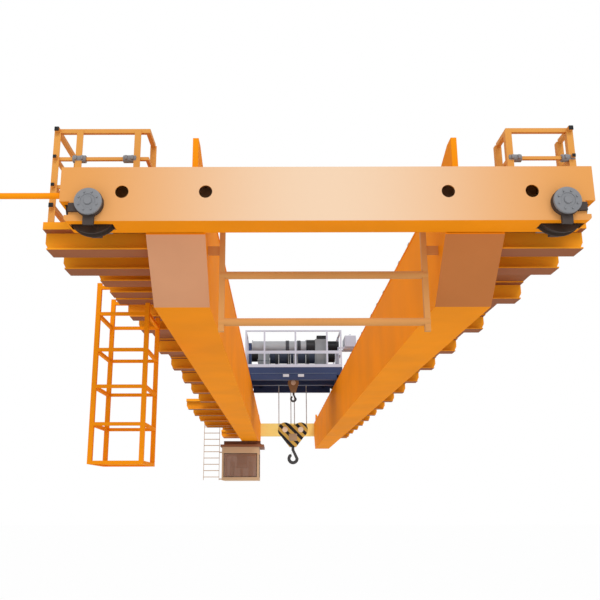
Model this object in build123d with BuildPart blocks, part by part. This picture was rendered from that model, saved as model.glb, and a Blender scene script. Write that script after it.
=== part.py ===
"""Top-running double-girder overhead travelling crane with a crab trolley.

Millimetres, +Z up. X runs along the runway rails, left of the crane is -X.
Y runs along the girders, away from the near end carriage.
The origin is on the near runway rail's head, midway between the near wheels.
"""
import os
from math import cos, radians, sin

from build123d import *

os.makedirs("parts", exist_ok=True)

# Runway and end carriages
SPAN = 28500
WHEEL_BASE = 4760
CARRIAGE_LENGTH = 5380
CARRIAGE_WIDTH = 354
CARRIAGE_HEIGHT = 580
CARRIAGE_CLEAR = 70
CARRIAGE_PLATE = 12
NOTCH_TOP = 278
NOTCH_BOTTOM = 134
NOTCH_DEPTH = 100
FOOT_SETBACK = 55
FOOT_RADIUS = 35
HOLE_DIAMETER = 135
HOLE_HEIGHT = 382
HOLE_INNER_X = 1222
HOLE_OUTER_X = 2066

# Crane wheels and their bearing boxes
WHEEL_TREAD = 500
WHEEL_FLANGE = 540
WHEEL_TREAD_WIDTH = 90
WHEEL_FLANGE_WIDTH = 24
WHEEL_SLOT_GAP = 15
AXLE_DIAMETER = 110
AXLE_GAP = 0.1
AXLE_END_GAP = 2
BEARING_BOX_DIAMETER = 285
BEARING_BOX_DEPTH = 58
BEARING_COVER_DIAMETER = 236
BEARING_COVER_DEPTH = 12
BEARING_WALL = 16
JACK_LUG_WIDTH = 110
JACK_LUG_DROP = 82
JACK_LUG_DEPTH = 36
EAR_HEIGHT = 86

# Girders
GIRDER_CENTRES = 3120
GIRDER_WIDTH = 600
GIRDER_DEPTH = 1210
WEB_PLATE = 10
FLANGE_PLATE = 16
FLANGE_LIP = 10
HAUNCH_RUN = 690
HAUNCH_DROP = 20

# Trolley rails and their end stops
TROLLEY_GAUGE = 2710
RAIL_HEIGHT = 134
RAIL_HEAD = 68
RAIL_FOOT = 114
RAIL_WEB = 13
RAIL_FOOT_EDGE = 12
RAIL_HEAD_DEPTH = 36
STOP_LENGTH = 500
STOP_HEIGHT = 410
STOP_WIDTH = 60
STOP_NOSE = 180
STOP_PAD_DIAMETER = 110
STOP_PAD_LENGTH = 80
RAIL_GAP = 0.3

# Walkways
DECK_TOP = 200
DECK_PLATE = 8
TOE_HEIGHT = 60
TOE_PLATE = 6
HATCH_START = 2800
HATCH_END = 3400
HATCH_WIDTH = 400
HATCH_EDGE = 30
PLATE_GAP = 2
BRACKET_HEIGHT = 242
BRACKET_FLANGE = 280
BRACKET_WEB = 14
BRACKET_FLANGE_PLATE = 16
BRACKET_END_CUT = 110
FIRST_BRACKET = 360
PLATFORM_PITCH = 710
REGULAR_BRACKET = 2470
BRACKET_PITCH = 1890
CAGE_BRACKETS = (1570, 2110, 3460)
REGULAR_COUNT = 13
LEFT_PLATFORM_REACH = 3010
LEFT_WALK_REACH = 2710
CAB_WALK_REACH = 3260
RIGHT_WALK_REACH = 2805
CAB_WALK_FIRST = 7

# Platform railings
RAILING_HEIGHT = 1138
LEFT_POSTS = (-2930, -2680, -2040)
RIGHT_POSTS = (2740, 2060)
LEFT_RETURN = -1930
POST_SETBACK = 8
POST_LEG = 72
POST_PLATE = 8
HANDRAIL = 48
KNEE_RAIL = 36
KNEE_DROP = 330
LOW_RAIL = 240
RETURN_RUN = 350
LEFT_SIDE_RUN = 780
RIGHT_SIDE_RUN = 260
RAIL_OVERHANG = 45
CLAMP_DIAMETER = 84
CLAMP_LENGTH = 130
CLAMP_PLACES = (-2675, -2120, 2115, 2700)

# Inspection cage
CAGE_FRONT = 2650
CAGE_LENGTH = 950
CAGE_OUTER = 2955
CAGE_WIDTH = 725
CAGE_POST_TOP = 230
CAGE_TOP_BAR = -200
CAGE_BAR_PITCH = 492
CAGE_LEVELS = 5
CAGE_POST = 60
CAGE_BAR = 44
CAGE_FLOOR = 10

# Guard frame between the girders
GUARD_Y = 600
GUARD_GAP = 130
GUARD_POST = 60
GUARD_TUBE = 84
GUARD_TOP = 560
GUARD_BOTTOM = -895
GUARD_BARS = (-270, -790)
GUARD_LUGS = (10, 440)
GUARD_LUG = 100
GUARD_LUG_PLATE = 20

# Operator's cab, hung under the left girder
CAB_Y = 22300
CAB_LENGTH = 2000
CAB_LEFT = 2620
CAB_WIDTH = 1430
CAB_TOP = -700
CAB_HEIGHT = 1340
CAB_WALL = 50
CAB_ROOF = 90
CAB_ROOF_LIP = 60
CAB_INNER_LIP = 190
CAB_HEADER = 240
CAB_SILL = 110
CAB_PILLAR = 70
CAB_GLASS = 8
CAB_DOOR_WIDTH = 640
CAB_DOOR_INSET = 120
HANGER_BEAM = 120
HANGER_PLATE = 12
HANGER_INSET = 200
HANGER_OVERHANG = 60

# Cab ladder
LADDER_WIDTH = 610
LADDER_STILE = 60
LADDER_STILE_PLATE = 14
LADDER_RUNG = 26
LADDER_PITCH = 238
LADDER_GAP = 100
LADDER_INSET = 60
LADDER_TIE = 40

# Buffers, limit arm and travel drives on the carriages
BUFFER_DIAMETER = 100
BUFFER_CUP = 30
BUFFER_RUBBER = 80
BUFFER_LENGTH = 50
BUFFER_HEIGHT = 410
ARM_DIAMETER = 64
ARM_REACH = 3450
ARM_PLATE = 120
ARM_PLATE_DEPTH = 12
ARM_CAP = 84
GEARBOX_WIDTH = 260
GEARBOX_HEIGHT = 430
GEARBOX_DEPTH = 105
GEARBOX_DROP = 130
DRIVE_MOTOR = 200
DRIVE_MOTOR_LENGTH = 400
DRIVE_MOTOR_HEIGHT = 440

# Trolley
TROLLEY_Y = 14800
TROLLEY_LENGTH = 3000
CROSS_BEAM_BOTTOM = 704
TROLLEY_TOP = 1070
END_BEAM_WIDTH = 160
MIDDLE_BEAM_Y = 15900
MIDDLE_BEAM_WIDTH = 200
SIDE_BEAM_WIDTH = 170
SIDE_BEAM_HEIGHT = 220
TROLLEY_PLATE = 10
BEAM_HOLE = 120
TROLLEY_FLOOR = 8
TROLLEY_WHEEL_TREAD = 250
TROLLEY_WHEEL_FLANGE = 280
TROLLEY_TREAD_WIDTH = 80
TROLLEY_FLANGE_WIDTH = 16
TROLLEY_WHEEL_INSET = 350
TROLLEY_AXLE = 50
TROLLEY_BOSS_DEPTH = 22
TROLLEY_BOSS_WALL = 8
TROLLEY_RAILING = 1120
TROLLEY_POST = 50
TROLLEY_FRONT_POSTS = (-890, 35, 977)
TROLLEY_SIDE_POSTS = (15800, 16800)
TROLLEY_TOP_RAIL = 42
TROLLEY_MID_RAIL = 90
TROLLEY_MID_Z = 1530
TROLLEY_KICK = 90
RAILING_PLATE = 8

# Hoists
DRUM_AXIS = 1790
DRUM_RIM = 60
DRUM_RIM_WIDTH = 26
DRUM_SHAFT = 110
DRUM_SHAFT_OUT = 100
AUX_DRUM_Y = 15300
AUX_DRUM_DIAMETER = 340
AUX_DRUM_LEFT = -1250
AUX_DRUM_RIGHT = 390
MAIN_DRUM_Y = 16900
MAIN_DRUM_DIAMETER = 500
MAIN_DRUM_LEFT = -720
MAIN_DRUM_RIGHT = 960
STAND_WIDTH = 90
STAND_GAP = 12
STAND_FOOT = 420
STAND_HEAD = 230
AUX_DISC_DIAMETER = 400
AUX_DISC_END = 660
AUX_GEARBOX_END = 1000
AUX_GEARBOX_HALF = 180
AUX_GEARBOX_RISE = 200
AUX_TERMINAL_INSET = 57
AUX_TERMINAL_RISE = 320
MAIN_GEARBOX_LEFT = -1100
MAIN_GEARBOX_HALF = 280
MAIN_GEARBOX_RISE = 250
AUX_MOTOR = 300
MAIN_MOTOR = 340
MAIN_BRAKE = 420
MOTOR_END = 1380

# Electrical box beside the trolley
PANEL_INNER = 1560
PANEL_OUTER = 1890
PANEL_BOTTOM = 1740
PANEL_HEIGHT = 330
PANEL_START = 15000
PANEL_LENGTH = 900
PANEL_ARM = 50
PANEL_ARM_PLACES = (15100, 15600)
PANEL_UPRIGHT = 1340

# Main hook block, ropes and hook
MAIN_PIN_Z = -610
MAIN_SHEAVE_X = 245
MAIN_SHEAVE = 420
MAIN_ROPE = 26
MAIN_ROPE_PITCH = 190
MAIN_CHEEK_MARGIN = 12
MAIN_BLOCK_THICK = 250
CHEEK_PLATE = 20
MAIN_CROSSHEAD_TOP = -990
MAIN_CROSSHEAD_HEIGHT = 150
MAIN_CROSSHEAD_WIDTH = 200
MAIN_DIP_Z = -470
PIN_DIAMETER = 120
MAIN_SHANK = 90
MAIN_NUT = 150
MAIN_NUT_HEIGHT = 70
MAIN_HOOK_RADIUS = 48
MAIN_HOOK_BEND = 125
MAIN_HOOK_DROP = 355
ROPE_GAP = 0.3
SHANK_GAP = 0.1
NUT_GAP = 0.3
HOOK_ARC = 225
HOOK_TIP = 1.02
HOOK_FLAT = 0.9
HOOK_CHAMFER = 0.35

# Auxiliary hook block, ropes and hook
AUX_PIN_Z = 700
AUX_SHEAVE = 300
AUX_ROPE = 20
AUX_ROPE_PITCH = 135
AUX_CHEEK_MARGIN = 15
AUX_BLOCK_THICK = 180
AUX_CROSSHEAD_TOP = 490
AUX_CROSSHEAD_HEIGHT = 80
AUX_CROSSHEAD_WIDTH = 150
AUX_PIN_DIAMETER = 80
AUX_SHANK = 50
AUX_NUT = 90
AUX_NUT_HEIGHT = 36
AUX_HOOK_RADIUS = 28
AUX_HOOK_BEND = 72
AUX_HOOK_DROP = 190

# Places worked out from the sizes above
WHEEL_X = WHEEL_BASE / 2
WHEEL_AXIS = WHEEL_TREAD / 2
CARRIAGE_FACE = CARRIAGE_WIDTH / 2
CARRIAGE_END = CARRIAGE_LENGTH / 2
CARRIAGE_TOP = CARRIAGE_CLEAR + CARRIAGE_HEIGHT
GIRDER_X = GIRDER_CENTRES / 2
GIRDER_OUTER = GIRDER_X + GIRDER_WIDTH / 2
GIRDER_INNER = GIRDER_X - GIRDER_WIDTH / 2
GIRDER_TOP = CARRIAGE_TOP
GIRDER_BOTTOM = GIRDER_TOP - GIRDER_DEPTH
RAIL_X = TROLLEY_GAUGE / 2
RAIL_TOP = GIRDER_TOP + RAIL_HEIGHT
BRACKET_TOP = DECK_TOP - DECK_PLATE
BRACKET_LOW = BRACKET_TOP - BRACKET_HEIGHT
PLATFORM_END = FIRST_BRACKET + PLATFORM_PITCH + BRACKET_FLANGE
HATCH_PLATE_START = REGULAR_BRACKET + BRACKET_FLANGE / 2
HATCH_PLATE_END = CAGE_BRACKETS[2] + BRACKET_FLANGE / 2
CAB_WALK_START = REGULAR_BRACKET + CAB_WALK_FIRST * BRACKET_PITCH
CAB_WALK_END = CAB_Y + LADDER_INSET
TROLLEY_END = TROLLEY_Y + TROLLEY_LENGTH
TROLLEY_AXLE_Z = RAIL_TOP + TROLLEY_WHEEL_TREAD / 2 + RAIL_GAP
SIDE_BEAM_INNER = RAIL_X - SIDE_BEAM_WIDTH / 2
SIDE_BEAM_OUTER = RAIL_X + SIDE_BEAM_WIDTH / 2
FLOOR_TOP = TROLLEY_TOP + TROLLEY_FLOOR
MAIN_HOOK_Y = MAIN_DRUM_Y - MAIN_DRUM_DIAMETER / 2 - MAIN_ROPE / 2 - ROPE_GAP
AUX_HOOK_Y = AUX_DRUM_Y + AUX_DRUM_DIAMETER / 2 + AUX_ROPE / 2 + ROPE_GAP


def save(piece, name):
    """Label one finished piece and write it."""
    piece.part.label = name
    export_step(piece.part, f"parts/{name}.step")


def block(low, high, mode=Mode.ADD):
    """A box between two opposite corners, in the part being built."""
    with Locations(tuple((a + b) / 2 for a, b in zip(low, high))):
        Box(*[abs(b - a) for a, b in zip(low, high)], mode=mode)


def rod(start, end, diameter, mode=Mode.ADD):
    """A round bar from start to end, in the part being built."""
    middle = (Vector(start) + Vector(end)) / 2
    reach = Vector(end) - Vector(start)
    with Locations(Plane(origin=middle, z_dir=reach).location):
        Cylinder(diameter / 2, reach.length, mode=mode)


def bar(start, end, size):
    """A square bar between two points on a level line, in the part being built."""
    middle = (Vector(start) + Vector(end)) / 2
    reach = Vector(end) - Vector(start)
    with Locations(Plane(origin=middle, x_dir=(0, 0, 1), z_dir=reach).location):
        Box(size, size, reach.length)


# End carriages: welded boxes, notched at both ends for the bearing boxes
def carriage_outline(inset):
    """Half of the side view, drawn inset from the plates' outer faces."""
    end = CARRIAGE_END - inset
    notch = end - NOTCH_DEPTH
    foot = end - FOOT_SETBACK
    return [
        (0, CARRIAGE_TOP - inset),
        (end, CARRIAGE_TOP - inset),
        (end, NOTCH_TOP + inset),
        (notch, NOTCH_TOP + inset),
        (notch, NOTCH_BOTTOM - inset),
        (foot, NOTCH_BOTTOM - inset),
        (foot, CARRIAGE_CLEAR + inset),
        (0, CARRIAGE_CLEAR + inset),
    ]


def end_carriage(name, centre_y, outward):
    """One carriage; outward is -1 where its outer web faces -Y."""
    slot_width = WHEEL_TREAD_WIDTH + 2 * (WHEEL_FLANGE_WIDTH + WHEEL_SLOT_GAP)
    outer_face = centre_y + outward * CARRIAGE_FACE
    with BuildPart() as carriage:
        with BuildSketch(Plane.XZ.offset(-centre_y)):
            with BuildLine():
                Polyline(*carriage_outline(0), close=True)
            make_face()
            mirror(about=Plane.YZ)
        extrude(amount=CARRIAGE_FACE, both=True)
        foot_edges = carriage.edges().filter_by(Axis.Y).group_by(Axis.Z)[0]
        fillet(foot_edges, FOOT_RADIUS)
        with BuildSketch(Plane.XZ.offset(-centre_y)):
            with BuildLine():
                Polyline(*carriage_outline(CARRIAGE_PLATE), close=True)
            make_face()
            mirror(about=Plane.YZ)
        extrude(amount=CARRIAGE_FACE - CARRIAGE_PLATE, both=True, mode=Mode.SUBTRACT)
        # Slots for the wheels, and clearance holes for their axles
        with BuildSketch(Plane.XZ.offset(-centre_y)):
            with Locations((-WHEEL_X, WHEEL_AXIS), (WHEEL_X, WHEEL_AXIS)):
                Circle(WHEEL_FLANGE / 2 + WHEEL_SLOT_GAP)
        extrude(amount=slot_width / 2, both=True, mode=Mode.SUBTRACT)
        with BuildSketch(Plane.XZ.offset(-centre_y)):
            with Locations((-WHEEL_X, WHEEL_AXIS), (WHEEL_X, WHEEL_AXIS)):
                Circle(AXLE_DIAMETER / 2 + CARRIAGE_PLATE)
        extrude(amount=CARRIAGE_WIDTH, both=True, mode=Mode.SUBTRACT)
        # Round access holes in the outer web
        with BuildSketch(Plane.XZ.offset(-outer_face)):
            hole_places = (-HOLE_OUTER_X, -HOLE_INNER_X, HOLE_INNER_X, HOLE_OUTER_X)
            with Locations(*[(x, HOLE_HEIGHT) for x in hole_places]):
                Circle(HOLE_DIAMETER / 2)
        extrude(amount=2 * CARRIAGE_PLATE, both=True, mode=Mode.SUBTRACT)
    save(carriage, name)


end_carriage("near_end_carriage", 0, -1)
end_carriage("far_end_carriage", SPAN, 1)

# Bearing boxes: a cast barrel with an ear, a jacking lug and a round cover, outside each web
with BuildPart() as bearing_boxes:
    for centre_y in (0, SPAN):
        for outward in (-1, 1):
            web_face = centre_y + outward * CARRIAGE_FACE
            for end in (-1, 1):
                place = (end * WHEEL_X, WHEEL_AXIS)
                barrel_r = BEARING_BOX_DIAMETER / 2
                lug_reach = barrel_r + JACK_LUG_DROP
                ear_reach = CARRIAGE_LENGTH / 2 - NOTCH_DEPTH - WHEEL_X
                with BuildSketch(Plane.XZ.offset(-web_face)):
                    with Locations(place):
                        Circle(barrel_r)
                extrude(amount=-outward * BEARING_BOX_DEPTH)
                with BuildSketch(Plane.XZ.offset(-web_face)):
                    with Locations((end * (WHEEL_X + ear_reach / 2), WHEEL_AXIS - EAR_HEIGHT / 2)):
                        Rectangle(ear_reach, EAR_HEIGHT)
                    with Locations((end * WHEEL_X, WHEEL_AXIS - lug_reach / 2)):
                        Rectangle(JACK_LUG_WIDTH, lug_reach)
                extrude(amount=-outward * JACK_LUG_DEPTH)
                with BuildSketch(Plane.XZ.offset(-web_face - outward * BEARING_BOX_DEPTH)):
                    with Locations(place):
                        Circle(BEARING_COVER_DIAMETER / 2)
                extrude(amount=-outward * BEARING_COVER_DEPTH)
                with BuildSketch(Plane.XZ.offset(-web_face)):
                    with Locations(place):
                        Circle(AXLE_DIAMETER / 2 + AXLE_GAP)
                bore_depth = BEARING_BOX_DEPTH - BEARING_WALL
                extrude(amount=-outward * bore_depth, mode=Mode.SUBTRACT)
save(bearing_boxes, "wheel_bearing_boxes")


# Wheels: double-flanged discs, pressed on an axle that turns in its bearings
def flanged_wheel(name, centre, along, tread, flange, tread_width, flange_width, axle, axle_half):
    """One rail wheel with its axle; along is the axle's direction."""
    tread_half = tread_width / 2
    rim_half = tread_half + flange_width
    section = Plane(origin=centre, x_dir=along, z_dir=Vector(along).cross(Vector(0, 0, 1)))
    with BuildPart() as wheel:
        with BuildSketch(section):
            with BuildLine():
                Polyline(
                    (0, 0),
                    (axle_half, 0),
                    (axle_half, axle / 2),
                    (rim_half, axle / 2),
                    (rim_half, flange / 2),
                    (tread_half + flange_width / 3, flange / 2),
                    (tread_half, tread / 2),
                    (0, tread / 2),
                    close=True,
                )
            make_face()
            mirror(about=Plane.YZ)
        revolve(axis=Axis(centre, along))
    save(wheel, name)


crane_axle_half = CARRIAGE_FACE + BEARING_BOX_DEPTH - BEARING_WALL - AXLE_END_GAP
for carriage_name, carriage_y in (("near", 0), ("far", SPAN)):
    for side_name, side in (("left", -1), ("right", 1)):
        flanged_wheel(
            f"{carriage_name}_{side_name}_wheel",
            (side * WHEEL_X, carriage_y, WHEEL_AXIS),
            (0, 1, 0),
            WHEEL_TREAD,
            WHEEL_FLANGE,
            WHEEL_TREAD_WIDTH,
            WHEEL_FLANGE_WIDTH,
            AXLE_DIAMETER,
            crane_axle_half,
        )


# Girders: two webs between wide flanges, the bottom flange haunched up to each carriage
def girder_outline(inset):
    """The side view from carriage to carriage, with top and belly drawn in by inset."""
    start = CARRIAGE_FACE
    end = SPAN - CARRIAGE_FACE
    shoulder = CARRIAGE_CLEAR - HAUNCH_DROP + inset
    low = GIRDER_BOTTOM + inset
    return [
        (start, shoulder),
        (start + HAUNCH_RUN, low),
        (end - HAUNCH_RUN, low),
        (end, shoulder),
        (end, GIRDER_TOP - inset),
        (start, GIRDER_TOP - inset),
    ]


def box_girder(name, side):
    """One girder, open at its ends, where the carriages close it."""
    with BuildPart() as girder:
        with BuildSketch(Plane.YZ.offset(side * GIRDER_X)):
            with BuildLine():
                Polyline(*girder_outline(0), close=True)
            make_face()
        extrude(amount=GIRDER_WIDTH / 2 + FLANGE_LIP, both=True)
        # The flanges stand proud of the webs by a lip on each side
        for face in (-1, 1):
            with BuildSketch(Plane.YZ.offset(side * GIRDER_X + face * GIRDER_WIDTH / 2)):
                with BuildLine():
                    Polyline(*girder_outline(FLANGE_PLATE), close=True)
                make_face()
            extrude(amount=face * FLANGE_LIP, mode=Mode.SUBTRACT)
        with BuildSketch(Plane.YZ.offset(side * GIRDER_X)):
            with BuildLine():
                Polyline(*girder_outline(FLANGE_PLATE), close=True)
            make_face()
        extrude(amount=GIRDER_WIDTH / 2 - WEB_PLATE, both=True, mode=Mode.SUBTRACT)
    save(girder, name)


box_girder("left_girder", -1)
box_girder("right_girder", 1)

# Trolley rails: rolled section laid over each girder's inner web
with BuildPart() as rails:
    for side in (-1, 1):
        foot = (side * RAIL_X, STOP_LENGTH, GIRDER_TOP)
        with BuildSketch(Plane(origin=foot, x_dir=(1, 0, 0), z_dir=(0, -1, 0))):
            with BuildLine():
                Polyline(
                    (0, 0),
                    (RAIL_FOOT / 2, 0),
                    (RAIL_FOOT / 2, RAIL_FOOT_EDGE),
                    (RAIL_WEB / 2, 2 * RAIL_FOOT_EDGE),
                    (RAIL_WEB / 2, RAIL_HEIGHT - RAIL_HEAD_DEPTH),
                    (RAIL_HEAD / 2, RAIL_HEIGHT - RAIL_HEAD_DEPTH * 3 / 4),
                    (RAIL_HEAD / 2, RAIL_HEIGHT),
                    (0, RAIL_HEIGHT),
                    close=True,
                )
            make_face()
            mirror(about=Plane.YZ)
        extrude(amount=-(SPAN - 2 * STOP_LENGTH))
save(rails, "trolley_rails")

# End stops: a stiff plate at each rail end, with a rubber-faced pad towards the trolley
with BuildPart() as stops:
    for side in (-1, 1):
        for start, inward in ((0, 1), (SPAN, -1)):
            with BuildSketch(Plane.YZ.offset(side * RAIL_X)):
                with BuildLine():
                    Polyline(
                        (start, GIRDER_TOP),
                        (start, GIRDER_TOP + STOP_HEIGHT),
                        (start + inward * STOP_NOSE, GIRDER_TOP + STOP_HEIGHT),
                        (start + inward * STOP_LENGTH, TROLLEY_AXLE_Z + STOP_PAD_DIAMETER / 2),
                        (start + inward * STOP_LENGTH, GIRDER_TOP),
                        close=True,
                    )
                make_face()
            extrude(amount=STOP_WIDTH / 2, both=True)
            with BuildSketch(Plane.XZ.offset(-(start + inward * STOP_LENGTH))):
                with Locations((side * RAIL_X, TROLLEY_AXLE_Z)):
                    Circle(STOP_PAD_DIAMETER / 2)
            extrude(amount=-inward * STOP_PAD_LENGTH)
save(stops, "trolley_end_stops")

# Walkway brackets: I-sections on each girder's outer web, cut back under their tips
end_brackets = [FIRST_BRACKET, FIRST_BRACKET + PLATFORM_PITCH]
end_brackets += [SPAN - y - BRACKET_FLANGE for y in end_brackets]
regular_brackets = [REGULAR_BRACKET + i * BRACKET_PITCH for i in range(REGULAR_COUNT)]
walk_brackets = [*CAGE_BRACKETS, *regular_brackets]
left_reaches = [(y, LEFT_PLATFORM_REACH) for y in end_brackets]
left_reaches += [(y, LEFT_WALK_REACH) for y in walk_brackets if not CAB_WALK_START <= y < CAB_WALK_END]
left_reaches += [(y, CAB_WALK_REACH) for y in walk_brackets if CAB_WALK_START <= y < CAB_WALK_END]
left_reaches += [(CAB_WALK_END - BRACKET_FLANGE, CAB_WALK_REACH)]
right_reaches = [(y, RIGHT_WALK_REACH) for y in [*end_brackets, *regular_brackets]]
for side_name, side, reaches in (("left", -1, left_reaches), ("right", 1, right_reaches)):
    with BuildPart() as bracket_row:
        for y, reach in reaches:
            root = side * GIRDER_OUTER
            tip = side * reach
            cut = side * (reach - BRACKET_END_CUT / 2)
            with BuildSketch(Plane.XZ.offset(-y - BRACKET_FLANGE / 2)):
                with BuildLine():
                    Polyline(
                        (root, BRACKET_LOW),
                        (cut, BRACKET_LOW),
                        (tip, BRACKET_LOW + BRACKET_END_CUT),
                        (tip, BRACKET_TOP),
                        (root, BRACKET_TOP),
                        close=True,
                    )
                make_face()
            extrude(amount=BRACKET_WEB / 2, both=True)
            back = y + BRACKET_FLANGE
            block((root, y, BRACKET_LOW), (cut, back, BRACKET_LOW + BRACKET_FLANGE_PLATE))
            block((root, y, BRACKET_TOP - BRACKET_FLANGE_PLATE), (tip, back, BRACKET_TOP))
    save(bracket_row, f"{side_name}_walkway_brackets")

# Walkway decks: plates with a toe board along their outer edges, wider at the platforms
left_steps = [
    (LEFT_PLATFORM_REACH, FIRST_BRACKET, PLATFORM_END),
    (LEFT_WALK_REACH, PLATFORM_END, HATCH_PLATE_START),
    (LEFT_WALK_REACH, HATCH_PLATE_START, HATCH_PLATE_END),
    (LEFT_WALK_REACH, HATCH_PLATE_END, CAB_WALK_START),
    (CAB_WALK_REACH, CAB_WALK_START, CAB_WALK_END),
    (LEFT_WALK_REACH, CAB_WALK_END, SPAN - PLATFORM_END),
    (LEFT_PLATFORM_REACH, SPAN - PLATFORM_END, SPAN - FIRST_BRACKET),
]
right_steps = [(RIGHT_WALK_REACH, FIRST_BRACKET, SPAN - FIRST_BRACKET)]
hatch_outer = HATCH_EDGE - LEFT_WALK_REACH
hatch_inner = hatch_outer + HATCH_WIDTH
for side_name, side, steps in (("left", -1, left_steps), ("right", 1, right_steps)):
    reaches = [GIRDER_OUTER, *[reach for reach, start, end in steps], GIRDER_OUTER]
    with BuildPart() as deck:
        for i, (reach, start, end) in enumerate(steps):
            outer = side * reach
            front = start + PLATE_GAP / 2
            back = end - PLATE_GAP / 2
            toe_top = DECK_TOP + TOE_HEIGHT
            block((side * GIRDER_OUTER, front, BRACKET_TOP), (outer, back, DECK_TOP))
            block((outer - side * TOE_PLATE, front, DECK_TOP), (outer, back, toe_top))
            # Toe boards across the ends that stand out past the next plate
            if reaches[i] < reach:
                block((side * reaches[i], front, DECK_TOP), (outer, front + TOE_PLATE, toe_top))
            if reaches[i + 2] < reach:
                block((side * reaches[i + 2], back - TOE_PLATE, DECK_TOP), (outer, back, toe_top))
        if side < 0:
            # The hatch, between plates that reach from bracket to bracket
            low_corner = (hatch_outer, HATCH_START, BRACKET_TOP)
            block(low_corner, (hatch_inner, HATCH_END, DECK_TOP), Mode.SUBTRACT)
            for seam in (hatch_outer, hatch_inner):
                seam_low = (seam - PLATE_GAP / 2, HATCH_PLATE_START, BRACKET_TOP)
                block(seam_low, (seam + PLATE_GAP / 2, HATCH_PLATE_END, DECK_TOP), Mode.SUBTRACT)
    save(deck, f"{side_name}_walkway_deck")


# Platform railings: angle posts on the deck's edge, square rails and two clamps on each knee rail
def platform_railings(name, start, inward):
    """The railings round both platforms of one carriage; inward is +1 at the near end."""
    front = start + inward * (FIRST_BRACKET + POST_SETBACK)
    rail_y = front + inward * (POST_PLATE + HANDRAIL / 2)
    top = DECK_TOP + RAILING_HEIGHT
    levels = ((top, HANDRAIL), (top - KNEE_DROP, KNEE_RAIL), (top - 2 * KNEE_DROP, KNEE_RAIL))
    return_back = rail_y + inward * RETURN_RUN
    left_back = rail_y + inward * LEFT_SIDE_RUN
    right_back = rail_y + inward * RIGHT_SIDE_RUN
    posts = [(x, front) for x in (*LEFT_POSTS, *RIGHT_POSTS)]
    posts += [(LEFT_RETURN, return_back), (RIGHT_POSTS[1], return_back)]
    posts += [(LEFT_POSTS[0], left_back), (RIGHT_POSTS[0], right_back)]
    with BuildPart() as railing:
        for x, y in posts:
            left = x - POST_LEG / 2
            block((left, y, DECK_TOP), (left + POST_LEG, y + inward * POST_PLATE, top))
            block((left, y, DECK_TOP), (left + POST_PLATE, y + inward * POST_LEG, top))
        for z, size in levels:
            corner_y = rail_y - inward * size / 2
            bar((LEFT_POSTS[0], rail_y, z), (LEFT_RETURN, rail_y, z), size)
            bar((LEFT_RETURN, corner_y, z), (LEFT_RETURN, return_back, z), size)
            bar((RIGHT_POSTS[1], rail_y, z), (RIGHT_POSTS[0], rail_y, z), size)
            bar((RIGHT_POSTS[1], corner_y, z), (RIGHT_POSTS[1], return_back, z), size)
        # Side rails, which run past the corner posts by an overhang
        rail_front = front - inward * RAIL_OVERHANG
        for z, size in (*levels, (DECK_TOP + LOW_RAIL, HANDRAIL)):
            bar((LEFT_POSTS[0], rail_front, z), (LEFT_POSTS[0], left_back, z), size)
            bar((RIGHT_POSTS[0], rail_front, z), (RIGHT_POSTS[0], right_back, z), size)
        for x in CLAMP_PLACES:
            half = CLAMP_LENGTH / 2
            rod((x - half, rail_y, top - KNEE_DROP), (x + half, rail_y, top - KNEE_DROP), CLAMP_DIAMETER)
    save(railing, name)


platform_railings("near_platform_railings", 0, 1)
platform_railings("far_platform_railings", SPAN, -1)

# Inspection cage: four posts hung from the left walkway, ringed by bars, with a floor plate
cage_left = -CAGE_OUTER
cage_right = cage_left + CAGE_WIDTH
cage_back = CAGE_FRONT + CAGE_LENGTH
cage_low_bar = CAGE_TOP_BAR - (CAGE_LEVELS - 1) * CAGE_BAR_PITCH
cage_bottom = cage_low_bar - CAGE_BAR / 2
with BuildPart() as cage:
    for y in (CAGE_FRONT, cage_back - CAGE_POST):
        block((cage_left, y, cage_bottom), (cage_left + CAGE_POST, y + CAGE_POST, CAGE_POST_TOP))
        block((cage_right - CAGE_POST, y, cage_bottom), (cage_right, y + CAGE_POST, BRACKET_LOW))
        block((cage_left, y, BRACKET_TOP - CAGE_BAR), (-LEFT_WALK_REACH, y + CAGE_POST, BRACKET_TOP))
    for level in range(CAGE_LEVELS):
        low = CAGE_TOP_BAR - level * CAGE_BAR_PITCH - CAGE_BAR / 2
        high = low + CAGE_BAR
        block((cage_left, CAGE_FRONT, low), (cage_right, CAGE_FRONT + CAGE_BAR, high))
        block((cage_left, cage_back - CAGE_BAR, low), (cage_right, cage_back, high))
        block((cage_left, CAGE_FRONT, low), (cage_left + CAGE_BAR, cage_back, high))
        block((cage_right - CAGE_BAR, CAGE_FRONT, low), (cage_right, cage_back, high))
    block((cage_left, CAGE_FRONT, cage_low_bar), (cage_right, cage_back, cage_low_bar + CAGE_FLOOR))
save(cage, "inspection_cage")

# Guard frame: two posts lugged to the girders' inner webs, with two tubes across
guard_x = GIRDER_INNER - GUARD_GAP
with BuildPart() as guard:
    for side in (-1, 1):
        half = GUARD_POST / 2
        block((side * guard_x, GUARD_Y - half, GUARD_BOTTOM), (side * (guard_x - GUARD_POST), GUARD_Y + half, GUARD_TOP))
        for z in GUARD_LUGS:
            low = (side * guard_x, GUARD_Y - GUARD_LUG_PLATE / 2, z - GUARD_LUG / 2)
            block(low, (side * GIRDER_INNER, GUARD_Y + GUARD_LUG_PLATE / 2, z + GUARD_LUG / 2))
    for z in GUARD_BARS:
        rod((-guard_x, GUARD_Y, z), (guard_x, GUARD_Y, z), GUARD_TUBE)
save(guard, "guard_frame")

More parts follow.
